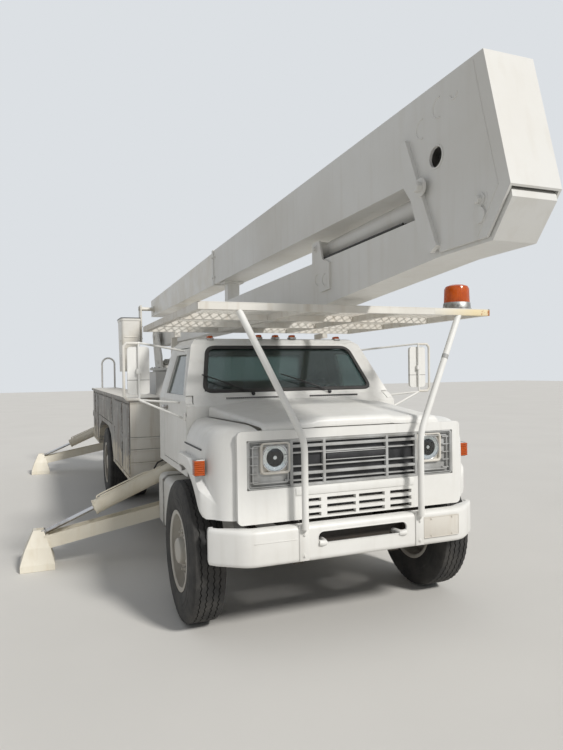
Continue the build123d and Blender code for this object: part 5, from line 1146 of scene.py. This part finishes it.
bm = bmesh.new()
depths = [0.0, 0.0015, 0.004, 0.008, 0.014, 0.022, 0.031, 0.040]
depths += [0.04 + (HOOD_LONG - 0.04) * i / 24 for i in range(1, 25)]
spread = [math.sin(math.radians(90 * i / 26)) for i in range(-26, 27)]
rings = []
for depth in depths:
    half = hood_half(depth / HOOD_LONG)
    outer = [(half * share, hood_height(half * share, depth)) for share in spread]
    under = [(x * (half - 0.012) / half, z - HOOD_THICK) for x, z in outer[1:-1]]
    skirt = [(half - inset, min(z, outer[0][1] - 0.002))
             for inset, z in ((0, 1.512), (0.003, HOOD_SEAM_Z), (0.010, HOOD_SEAM_Z))]
    left = [(-x, z) for x, z in skirt[::-1]]
    rings.append([at(x, HOOD_FRONT + depth, z) for x, z in left + outer + skirt + under[::-1]])
skin_rings(bm, rings)
panel_box(bm, -0.692, 0.692, HOOD_FRONT + 0.001, HOOD_FRONT + 0.014, 1.474, 1.492, 0.006)
for side in (-1, 1):
    panel_box(bm, side * 0.405, side * 0.435, 0.298, 0.312, 1.558, 1.600, 0.002)
place_piece("hood_skin", bm, "white_enamel", "hood", ["hood"])
print("hood skin", len(depths), "sections")

# %% [markdown]
# ## Rubber round the windows
#
# A truck's windscreen sits in a thick rubber channel, which is why it has a wide black border.
# The strip follows the corners of each opening on the slope of its glass.

# %% Window rubbers
COWL_Y, COWL_Z, TOP_Y, TOP_Z = 0.436, 1.662, 0.767, 2.117     # the windscreen's slope
screen_out = Vector((0, COWL_Z - TOP_Z, TOP_Y - COWL_Y)).normalized()


def on_screen(x, z, out=0.0):
    """A point on the windscreen's slope, or that far out from it."""
    return at(x, COWL_Y + (TOP_Y - COWL_Y) * (z - COWL_Z) / (TOP_Z - COWL_Z), z) + screen_out * out


def rounded_path(points, radius, steps=6):
    """A closed path in space with its corners rounded."""
    made = []
    for i, corner in enumerate(points):
        before, after = points[i - 1] - corner, points[(i + 1) % len(points)] - corner
        reach = min(radius, before.length * 0.45, after.length * 0.45)
        made += bend(corner + before.normalized() * reach, corner, corner + after.normalized() * reach,
                     [k / steps for k in range(steps + 1)])
    return made


def strip(bm, path, out, width, height):
    """A closed strip of rubber along a path, half-round on the side that faces out."""
    out = Vector(out).normalized()
    rings = []
    for i, point in enumerate(path):
        side = (path[(i + 1) % len(path)] - path[i - 1]).cross(out).normalized()
        rings.append([point + side * width * share + out * height * lift
                      for share, lift in ((-0.5, 0.0), (-0.5, 0.45), (-0.36, 0.85), (0.0, 1.0), (0.36, 0.85),
                                          (0.5, 0.45), (0.5, 0.0))])
    skin_rings(bm, rings, "joined")


back_y = node_box("cab_body")[1].y
for name, corners, radius, out, thick in (
        ("windscreen_rubber", [on_screen(-0.793, 1.700), on_screen(-0.695, 2.083), on_screen(0.695, 2.083),
                               on_screen(0.793, 1.700)], 0.075, screen_out, 0.012),
        ("rear_window_rubber", [at(-0.56, back_y, 1.70), at(-0.56, back_y, 2.03), at(0.56, back_y, 2.03),
                                at(0.56, back_y, 1.70)], 0.06, (0, 1, 0), 0.010)):
    bm = bmesh.new()
    strip(bm, rounded_path(corners, radius), out, 0.036, thick)
    place_piece(name, bm, "window_rubber")
print("rubber round the windscreen and the rear window")

# %% [markdown]
# ## Wipers, cowl vents and small cab pieces
#
# Two wipers park on the windscreen's lower edge, each with a spring arm and a blade 380 mm long.
# In front of them, air goes in through slots in the cowl. Each door carries its handle and its
# mirror's hoop, glass and seam.

# %% Wipers and vents
BLADE_HALF = 0.19
arms, blades = bmesh.new(), bmesh.new()
for pivot_x, tip_x in ((-0.37, -0.62), (0.36, 0.10)):
    pivot, tip = on_screen(pivot_x, 1.668, 0.012), on_screen(tip_x, 1.752, 0.026)
    turned(arms, [(0, 0.016), (0.012, 0.016), (0.018, 0.010)], pivot - screen_out * 0.008, screen_out, 16)
    tube(arms, [pivot + screen_out * 0.006, pivot.lerp(tip, 0.5) + screen_out * 0.012, tip], 0.0045, 8)
    run = (tip - pivot).normalized() * BLADE_HALF
    start, end = (on_screen(point.x, point.z, 0.019) for point in (tip - run, tip + run))
    tube(blades, [start, start.lerp(end, 0.5) + screen_out * 0.004, end], 0.0055, 8)
place_piece("wiper_arms", arms, "black_abs")
place_piece("wiper_blades", blades, "window_rubber")
bm = bmesh.new()
for i in range(26):
    x = abs(-0.62 + i * 0.0185)
    for side in (-1, 1):
        panel_box(bm, side * (x - 0.006), side * x, 0.388, 0.416, 1.636, 1.6475, 0.001)
place_piece("cowl_vents", bm, "black_abs")
print("wipers and vents")

# %% Door handles and mirrors
MIRROR_X, MIRROR_Y = 1.335, 0.500
HANDLE_X, HANDLE_Z = 0.975, 1.545
for side_name, side in SIDES.items():
    handle, glass, seam, hoop = (bmesh.new() for i in range(4))
    tube(handle, [at(side * (HANDLE_X + out), y, HANDLE_Z)
                  for out, y in ((-0.004, 1.165), (0.030, 1.170), (0.034, 1.205), (0.030, 1.300),
                                 (-0.004, 1.305))], 0.0095, 12)
    turned(handle, [(0, 0.018), (0.010, 0.018), (0.013, 0.012)], at(side * HANDLE_X, 1.165, HANDLE_Z),
           (side, 0, 0), 20)
    panel_box(glass, side * (MIRROR_X - 0.074), side * (MIRROR_X + 0.074), MIRROR_Y + 0.0135,
              MIRROR_Y + 0.0175, 1.704, 2.066, 0.001)
    panel_box(seam, side * (MIRROR_X - 0.0885), side * (MIRROR_X + 0.0885), MIRROR_Y - 0.0146,
              MIRROR_Y + 0.0146, 1.806, 1.8095, 0.0003)
    tube(hoop, [at(side * x, MIRROR_Y - 0.030, z) for x, z in
                ((MIRROR_X, 1.652), (1.43, 1.652), (1.455, 1.678), (1.455, 2.08), (1.43, 2.106),
                 (MIRROR_X, 2.106))], 0.0115, 16)
    for kind, bm, finish, slot in (("door_handle", handle, "rod_chrome", "white_enamel"),
                                   ("mirror_face", glass, "mirror_glass", "glass"),
                                   ("mirror_seam", seam, "window_rubber", "white_enamel"),
                                   ("mirror_hoop", hoop, "rack_enamel", "white_enamel")):
        place_piece(f"{kind}_{side_name}", bm, finish, f"door_{side_name}")
print("handles and mirrors on both doors")

# %% [markdown]
# ## Marks of making on the boom
#
# A boom is welded from plate, and the welds stay in sight: short beads round the elbow, a bead
# along the nose plate, and half-round plugs where inner pieces are welded through the wall. Big
# bolt heads hold the elbow's pin and the guide strap on both sides. Four hoses run along the lower
# boom's top, and eighteen bolts hold the turret to its turntable.

# %% Boom fittings
steel_low, steel_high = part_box("upper_boom_steel")
UPPER_SIDE = (steel_high.x - steel_low.x) / 2 - 0.026
LOWER_SIDE = 0.142
ELBOW_Y, ELBOW_Z = -2.243, 2.651
TURNTABLE = at(0, 5.9, 1.940)


def weld_arc(bm, x, y, z, radius, start, sweep, thick):
    """A bead of weld along an arc on a side face."""
    steps = [math.radians(start + sweep * i / 12) for i in range(13)]
    tube(bm, [at(x, y + radius * math.cos(a), z + radius * math.sin(a)) for a in steps], thick, 8)


upper, lower, hoses = bmesh.new(), bmesh.new(), bmesh.new()
for side in (-1, 1):
    out = (side, 0, 0)
    face, low_face = side * UPPER_SIDE, side * LOWER_SIDE
    hex_bolt(upper, at(face + side * 0.026, -1.807, 2.830), out, 0.052)
    hex_bolt(upper, at(face, ELBOW_Y, ELBOW_Z), out, 0.036)
    for y in (2.43, 2.52):
        for z in (3.22, 2.98):
            hex_bolt(upper, at(face + side * 0.008, y, z), out, 0.014)
    for y, z, radius, start, sweep, thick in ((ELBOW_Y, ELBOW_Z, 0.050, 150, 160, 0.0035),
                                              (-1.787, 3.150, 0.052, -100, 200, 0.004),
                                              (-1.937, 3.205, 0.052, -100, 200, 0.004),
                                              (-2.059, 3.225, 0.026, 180, 180, 0.005)):
        weld_arc(upper, face, y, z, radius, start, sweep, thick)
    for seam in (((-2.205, 3.318), (-2.262, 3.080), (-2.365, 2.690)), ((-2.365, 2.690), (-2.225, 2.484))):
        tube(upper, [at(face, y, z) for y, z in seam], 0.0035, 8)
    strip(upper, [at(face + side * 0.0005, -1.907 + 0.058 * math.cos(a), 2.962 + 0.058 * math.sin(a))
                  for a in angles(32)], out, 0.010, 0.004)
    hex_bolt(lower, at(low_face, -0.394, 2.775), out, 0.030)
    for y, z in ((-0.545, 2.525), (-0.425, 2.540)):
        weld_arc(lower, low_face, y, z, 0.040, -100, 200, 0.005)
    for x, rise in ((0.100, 0.0), (0.120, 0.001)):
        tube(hoses, [at(side * x, y, z + rise) for y, z in
                     ((-0.300, 2.700), (-0.45, 2.691), (-0.60, 2.690), (-1.10, 2.6935), (-1.55, 2.697))],
             0.0085, 10)
place_piece("upper_boom_welds_and_bolts", upper, "boom_enamel", "upper_boom")
place_piece("lower_boom_welds_and_bolts", lower, "boom_enamel", "lower_boom")
place_piece("elbow_hoses", hoses, "window_rubber", "lower_boom")
bm = bmesh.new()
for angle in angles(18):
    hex_bolt(bm, round_post(TURNTABLE, 0.335, angle), (0, 0, 1), 0.022)
place_piece("turntable_bolts", bm, "zinc_steel", "turret")
print("welds, bolts and hoses on the booms")

# %% [markdown]
# ## Buckets
#
# A work bucket is moulded from glass fibre in gelcoat: its wall is slim, its rim is rolled, and
# ribs stiffen its sides. A padded black band covers the rim, and bolts hold each bucket to the
# bracket on its shaft.

# %% Bucket fittings
BUCKET_Y, RIM_Z = 6.960, 2.850
BUCKET_INNER, BUCKET_OUTER = 0.400, 0.750
bucket_floor = RIM_Z - 0.96
ribs, rims, bolts = bmesh.new(), bmesh.new(), bmesh.new()
for side in (-1, 1):
    x = side * (BUCKET_INNER + BUCKET_OUTER) / 2
    strip(rims, [at(x + dx, BUCKET_Y + dy, RIM_Z + 0.002)
                 for dx, dy in rounded_loop((-0.170, -0.295), (0.170, 0.295), 0.05)], (0, 0, 1), 0.026, 0.012)
    for level in (0.30, 0.56):
        z, wall = bucket_floor + level, BUCKET_OUTER - 0.030 + 0.018 * level
        panel_box(ribs, side * (wall - 0.004), side * (wall + 0.014), BUCKET_Y - 0.13, BUCKET_Y + 0.13,
                  z - 0.012, z + 0.012, 0.006)
    for level in (0.42, 0.62):
        for way in (-1, 1):
            z, wall = bucket_floor + level, BUCKET_Y + way * (0.265 + 0.030 * level)
            panel_box(ribs, x - 0.12, x + 0.12, wall - 0.006, wall + 0.006, z - 0.008, z + 0.008, 0.004)
    for y, z in ((-0.07, 2.50), (0.07, 2.50), (-0.07, 2.72), (0.07, 2.72)):
        hex_bolt(bolts, at(side * 0.350, BUCKET_Y + y, z), (-side, 0, 0), 0.018)
place_piece("bucket_ribs", ribs, "gelcoat", "buckets")
place_piece("bucket_rims", rims, "window_rubber", "buckets")
place_piece("bucket_bracket_bolts", bolts, "zinc_steel", "buckets")
print("rims, ribs and bolts on two buckets")

# %% [markdown]
# ## Service body
#
# The bins are a row of steel cupboards. Each door is a pressed panel that stands a little proud,
# with a hinge along one edge and a recessed paddle latch near the other. The paint on their sides
# has peeled off in sheets, so bare grey primer shows, while the end towards the cab is still white
# and is made of overlapping sheets. The fuel tank on each side hangs in two steel straps and has
# its filler cap on top.

# %% Bin doors and ends
BIN_DOORS = ((2.117, 2.717, 0.737, 1.534), (2.767, 3.577, 0.737, 1.534), (3.890, 6.010, 1.180, 1.534),
             (6.135, 6.625, 0.737, 1.534), (6.675, 7.145, 0.737, 1.534))     # y from and to, z from and to
BODY_SIDE = 1.206
BODY_FRONT = 2.099
doors, metal, ends = bmesh.new(), bmesh.new(), bmesh.new()


def on_side(bm, side, inner, outer, *box, bevel=0.003):
    """A block on the service body's side, from its inner to its outer face."""
    panel_box(bm, side * (BODY_SIDE + inner), side * (BODY_SIDE + outer), *box, bevel)


for side in (-1, 1):
    for y0, y1, z0, z1 in BIN_DOORS:
        on_side(doors, side, -0.002, 0.005, y0 + 0.018, y1 - 0.018, z0 + 0.018, z1 - 0.018)
        on_side(doors, side, 0.004, 0.009, y0 + 0.075, y1 - 0.075, z0 + 0.075, z1 - 0.075, bevel=0.004)
        tube(metal, [at(side * (BODY_SIDE + 0.006), y0 + 0.011, z) for z in (z0 + 0.04, z1 - 0.04)], 0.006,
             10)
        y, z = y1 - 0.055, (z0 + z1) / 2
        on_side(metal, side, 0.003, 0.010, y - 0.032, y + 0.032, z - 0.058, z + 0.058)
        on_side(metal, side, 0.008, 0.018, y - 0.018, y + 0.018, z - 0.044, z + 0.020, bevel=0.004)
        turned(metal, [(0, 0.010), (0.012, 0.010), (0.014, 0.007)],
               at(side * (BODY_SIDE + 0.004), y, z + 0.038), (side, 0, 0), 16)
    x0, x1 = sorted((side * 0.790, side * (BODY_SIDE - 0.004)))
    for z0, z1, lift in ((0.705, 0.900, 0.004), (0.905, 1.040, 0.008), (1.045, 1.170, 0.006),
                         (1.175, 1.552, 0.005)):
        sheet_front = BODY_FRONT - 0.002 - lift
        panel_box(ends, x0, x1, sheet_front, BODY_FRONT, z0, z1)
        panel_box(ends, x0 + 0.002, x1 - 0.002, sheet_front - 0.010, BODY_FRONT, z1 - 0.016, z1 - 0.004,
                  0.004)
    panel_box(doors, side * 0.775, side * 0.7815, 4.30, 5.60, 1.1005, 1.160, 0.001)
    panel_box(ends, side * 0.786, side * 1.2335, 2.0755, 7.186, 1.5935, 1.5965, 0.001)
place_piece("bin_door_panels", doors, "peeled_primer")
place_piece("bin_hinges_and_latches", metal, "zinc_steel")
place_piece("bin_white_ends_and_lids", ends, "rack_enamel")
print("bin doors:", len(BIN_DOORS), "a side")

# %% Tank straps and caps
STRAP = [(0.52, 0.853), (0.94, 0.853), (0.978, 0.815), (0.978, 0.365), (0.94, 0.327), (0.52, 0.327)]
STRAP_EDGE = ((-0.022, -0.002), (-0.022, 0.0025), (0.022, 0.0025), (0.022, -0.002))
TANK_CAP = [(0, 0.048), (0.012, 0.048), (0.016, 0.044), (0.016, 0.062), (0.046, 0.060), (0.050, 0.054)]
bm = bmesh.new()
for side in (-1, 1):
    for y in (0.90, 1.44):
        skin_rings(bm, [[at(side * (x + (out if x > 0.97 else 0)), y + dy, z + (out if z > 0.6 else -out))
                         for dy, out in STRAP_EDGE] for x, z in STRAP])
    turned(bm, TANK_CAP, at(side * 0.74, 0.79, 0.846), (0, 0, 1), 28)
place_piece("tank_straps_and_caps", bm, "zinc_steel")
print("two straps and a cap on each tank")

# %% [markdown]
# ## Stands
#
# Each stand pushes a foot out and down with its jack. The jack's thin oil pipe is clipped to its
# barrel, wiper rings close its end, and bolted pins hold both of its eyes. Its hose leads back to
# the mount in a loop.

# %% Stand fittings
FOOT_PIN_X, FOOT_PIN_Z = 2.086, 0.324
JACK_END = [(0.0, 0.072), (0.004, 0.0745), (0.022, 0.0745), (0.026, 0.070), (0.026, 0.034), (0.032, 0.032)]
JACK_RING = [(0.0, 0.0705), (0.001, 0.0735), (0.021, 0.0735), (0.022, 0.0705)]
OIL_PIPE = ((0.925, 0.080), (0.915, 0.092), (0.88, 0.096), (0.42, 0.094), (0.36, 0.080))
HOSE = ((0.30, 0.080, 0.0), (0.24, 0.120, 0.012), (0.15, 0.118, 0.020), (0.06, 0.086, 0.024))


def on_jack(side, root, distance, rise=0.0, across=0.0):
    """A point along the axis of a jack from its root, and that far above and beside it."""
    run = Vector((side * (FOOT_PIN_X - abs(root.x)), 0, FOOT_PIN_Z - root.z)).normalized()
    lift = Vector((-side * run.z, 0, side * run.x))
    return root + run * distance + lift * rise + Vector((0, across, 0))


for corner in CORNERS:
    root, leg_root = Vector(places[f"stand_jack_{corner}"]), Vector(places[f"stand_leg_{corner}"])
    side = 1 if root.x > 0 else -1
    jack, pins, hose = bmesh.new(), bmesh.new(), bmesh.new()
    axis = on_jack(side, root, 1.0) - root
    turned(jack, JACK_END, on_jack(side, root, 0.962), axis, 32)
    for distance in (0.34, 0.90):
        turned(jack, JACK_RING, on_jack(side, root, distance), axis, 32)
    hex_bolt(jack, on_jack(side, root, 0.925, 0.072), on_jack(side, root, 0, 1) - root, 0.014)
    tube(jack, [on_jack(side, root, *spot) for spot in OIL_PIPE], 0.0075, 10)
    for way in (-1, 1):
        foot_pin = Vector((side * FOOT_PIN_X, root.y + way * 0.050, FOOT_PIN_Z + 0.011))
        turned(pins, [(0.0, 0.030), (0.008, 0.030), (0.010, 0.026)], foot_pin, (0, way, 0), 20)
        hex_bolt(pins, leg_root + Vector((0, way * 0.070, 0)), (0, way, 0), 0.020)
    tube(hose, [on_jack(side, root, *spot) for spot in HOSE], 0.009, 10)
    place_piece(f"jack_rings_{corner}", jack, "stand_enamel", f"stand_jack_{corner}")
    place_piece(f"stand_pin_heads_{corner}", pins, "zinc_steel", f"stand_leg_{corner}")
    place_piece(f"jack_hose_{corner}", hose, "window_rubber", f"stand_jack_{corner}")
print("jack rings, pins and hoses on", len(CORNERS), "stands")

# %% [markdown]
# ## Cab interior
#
# Behind the glass stands a wide bench with a cushion and a back of foam under vinyl. Foam swells
# against its cover, so each pad starts as a slightly smaller rounded block, is remeshed into even
# faces and blown up by Blender's cloth solver with a little pressure. Its movement is capped, and
# the sewn channels come after, on the finished form.

# %% Swell a pad
PAD_VOXEL, PAD_CAP, PAD_PRESSURE, PAD_STEPS = 0.014, 0.022, 4.0, 20


def apply_modifiers(piece):
    """Gives a piece the mesh that its modifiers make, and takes them off."""
    made = bpy.data.meshes.new_from_object(piece.evaluated_get(bpy.context.evaluated_depsgraph_get()))
    piece.modifiers.clear()
    piece.data = made


def swell(pad):
    """Blows a pad up with the cloth solver, and caps how far any point of it moves."""
    start = [vertex.co.copy() for vertex in pad.data.vertices]
    cloth = pad.modifiers.new("foam", "CLOTH")
    cloth.settings.use_pressure = True
    cloth.settings.uniform_pressure_force = PAD_PRESSURE
    cloth.settings.effector_weights.gravity = 0.0
    for step in range(1, PAD_STEPS + 1):
        bpy.context.scene.frame_set(step)
    apply_modifiers(pad)
    bpy.context.scene.frame_set(1)
    for vertex, first in zip(pad.data.vertices, start):
        move = vertex.co - first
        if move.length > PAD_CAP:
            vertex.co = first + move * (PAD_CAP / move.length)


print("a pad swells by", PAD_CAP, "m at most")

# %% Sew and place a pad
CHANNELS = [-0.62 + 0.155 * i for i in range(9)]
CHANNEL_DEPTH, CHANNEL_WIDTH = 0.009, 0.008


def sew(pad, centre, lean):
    """Presses the sewn channels into a pad's upper side, then leans it and puts it in place."""
    bm = bmesh.new()
    bm.from_mesh(pad.data)
    bmesh.ops.subdivide_edges(bm, edges=bm.edges[:], cuts=1, use_grid_fill=True)
    bmesh.ops.smooth_vert(bm, verts=bm.verts[:], factor=0.5, use_axis_x=True, use_axis_y=True,
                          use_axis_z=True)
    turn = Matrix.Rotation(math.radians(lean), 4, "X")
    for vertex in bm.verts:
        x, y, z = vertex.co
        if z > 0:
            for line in CHANNELS:
                vertex.co.z -= CHANNEL_DEPTH * math.exp(-((x - line) / CHANNEL_WIDTH) ** 2)
        vertex.co = turn @ vertex.co + at(*centre)
    bm.to_mesh(pad.data)
    bm.free()


def stuffed(name, size, centre, lean):
    """A padded block, blown up and sewn into channels."""
    bm = bmesh.new()
    half = Vector(size) / 2
    sheet_box(bm, -half, half, min(size) * 0.22)
    mesh = bpy.data.meshes.new(name)
    bm.to_mesh(mesh)
    bm.free()
    pad = linked(name, mesh)
    remesh = pad.modifiers.new("even faces", "REMESH")
    remesh.mode, remesh.voxel_size = "VOXEL", PAD_VOXEL
    apply_modifiers(pad)
    swell(pad)
    sew(pad, centre, lean)
    pad.data.materials.append(finishes["seat_vinyl"])
    pad.data.shade_smooth()
    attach(pad, "chassis")
    print(name, len(pad.data.polygons), "faces")


stuffed("bench_cushion", (1.62, 0.46, 0.15), (0, 1.165, 1.300), 5)
stuffed("bench_back", (1.62, 0.46, 0.12), (0, 1.438, 1.560), 80)
print("bench with", len(CHANNELS), "sewn channels in each pad")

# %% [markdown]
# ## Dashboard and steering wheel
#
# The dashboard is one padded moulding right across the cab, so its outline is pushed from side to
# side. The instruments sit in a box on it behind the steering wheel, whose rim is a thin ring on
# three spokes. The gear lever stands beside it, and the bench's frame shows under the cushion.

# %% Dashboard and steering wheel
DASH = ((0.385, 1.365), (0.385, 1.560), (0.400, 1.576), (0.455, 1.612), (0.478, 1.614), (0.560, 1.588),
        (0.594, 1.566), (0.600, 1.552), (0.592, 1.500), (0.560, 1.470), (0.560, 1.410), (0.548, 1.395))
DASH_HALF = 0.862
WHEEL_HUB = at(0.43, 0.770, 1.560)
WHEEL_AXIS = Vector((0, 0.8, 0.6))
WHEEL_RADIUS, RIM_THICK = 0.215, 0.0125
bm = bmesh.new()
panel_box(bm, -0.80, 0.80, 0.99, 1.38, 1.052, 1.228, 0.012)
panel_box(bm, -0.80, 0.80, 1.478, 1.498, 1.20, 1.70, 0.008)
skin_rings(bm, [[at(x, y, z) for y, z in DASH] for x in (-DASH_HALF, DASH_HALF)])
panel_box(bm, 0.24, 0.62, 0.57, 0.605, 1.455, 1.585, 0.012)
tube(bm, [at(0.43, 0.56, 1.40), at(0.43, 0.755, 1.548)], 0.026, 20)
rim = ring_points(WHEEL_HUB, WHEEL_AXIS, WHEEL_RADIUS, 48)
rings = []
for point in rim + rim[:1]:
    out = (point - WHEEL_HUB).normalized()
    rings.append([point + (math.cos(a) * out + math.sin(a) * WHEEL_AXIS) * RIM_THICK for a in angles(12)])
skin_rings(bm, rings, "open")
turned(bm, [(-0.030, 0.022), (-0.012, 0.036), (0.010, 0.038), (0.016, 0.032)], WHEEL_HUB, WHEEL_AXIS, 24)
for a in map(math.radians, (0, 180, 270)):
    spoke = Vector((math.cos(a), -0.6 * math.sin(a), 0.8 * math.sin(a)))
    tube(bm, [WHEEL_HUB + spoke * 0.03, WHEEL_HUB + spoke * 0.212], 0.009, 12)
tube(bm, [at(0.10, 0.80, 1.06), at(0.10, 0.86, 1.30), at(0.12, 0.90, 1.42)], 0.009, 12)
turned(bm, [(-0.024, 0.006), (-0.018, 0.020), (0.0, 0.026), (0.018, 0.020), (0.024, 0.006)],
       at(0.12, 0.90, 1.43), (0, 0, 1), 20)
place_piece("dash_wheel_and_bench_frame", bm, "dash_vinyl", replaced=["cab_interior"])
bm = bmesh.new()
for x in (0.34, 0.52):
    turned(bm, [(0.0, 0.050), (0.003, 0.052), (0.006, 0.050), (0.006, 0.046), (0.002, 0.044)],
           at(x, 0.604, 1.520), (0, 1, 0), 32)
place_piece("gauge_rims", bm, "rod_chrome")
print("dashboard, wheel and two gauges")

# %% [markdown]
# ## Tail and rack end
#
# The tail is a folded skirt with its lamps: red for the tail and the brakes, amber for turning,
# each with a lens ribbed on its face. A tread plate with raised lugs covers the frame's end. The
# rack's front beam has lost its paint at the left end, so a thin skin with its own finish wraps it.

# %% Tail skirt, lamps and rack end
TAIL_BACK, SKIRT_HALF, SKIRT_Z = 7.600, 1.130, 0.945
LENS_BACK = TAIL_BACK + 0.024
LAMPS = (("amber", 0.985, 1.095), ("red", 0.865, 0.975), ("clear", 0.800, 0.855))    # x from and to
skirt = bmesh.new()
panel_box(skirt, -SKIRT_HALF, SKIRT_HALF, TAIL_BACK - 0.004, TAIL_BACK + 0.001, SKIRT_Z, 1.058, 0.002)
panel_box(skirt, -SKIRT_HALF, SKIRT_HALF, TAIL_BACK - 0.030, TAIL_BACK - 0.002, SKIRT_Z, 0.951, 0.002)
place_piece("tail_skirt", skirt, "chassis_black")
step = bmesh.new()
panel_box(step, -0.428, 0.428, 7.664, 7.899, 0.9502, 0.957, 0.001)
for row in range(5):
    for i in range(13):
        x, y = -0.375 + 0.060 * i + 0.030 * (row % 2), 7.700 + 0.040 * row
        panel_box(step, x - 0.018, x + 0.018, y - 0.004, y + 0.004, 0.9565, 0.9595, 0.001)
place_piece("tail_tread_plate", step, "deck_paint")
lenses = {tint: bmesh.new() for tint in ("red", "amber", "clear")}
bezels = bmesh.new()
for side in (-1, 1):
    for tint, x0, x1 in LAMPS:
        lens = lenses[tint]
        panel_box(bezels, side * (x0 - 0.005), side * (x1 + 0.005), TAIL_BACK, TAIL_BACK + 0.008, 0.960,
                  1.045, 0.002)
        panel_box(lens, side * x0, side * x1, TAIL_BACK + 0.006, LENS_BACK, 0.965, 1.040, 0.005)
        for k in range(1, 6):
            tube(lens, [at(side * x, LENS_BACK, 0.965 + k * 0.0125) for x in (x0 + 0.008, x1 - 0.008)],
                 0.0022, 8)
place_piece("tail_lamp_bezels", bezels, "window_rubber")
for tint, lens in lenses.items():
    place_piece(f"tail_lamps_{tint}", lens, f"{tint}_acrylic")
skin = bmesh.new()
beam_end, beam_front, beam_back, beam_low, beam_high = 1.1405, -0.7796, -0.7354, 2.2654, 2.3102
panel_box(skin, 0.640, beam_end, beam_front, beam_front + 0.001, beam_low, beam_high, 0.0003)
panel_box(skin, 0.905, beam_end, beam_front, beam_back, beam_low, beam_low + 0.001, 0.0003)
panel_box(skin, beam_end - 0.001, beam_end, beam_front, beam_back, beam_low, beam_high, 0.0003)
place_piece("rack_worn_end", skin, "rusted_enamel")
print("tail lamps:", 2 * len(lenses))
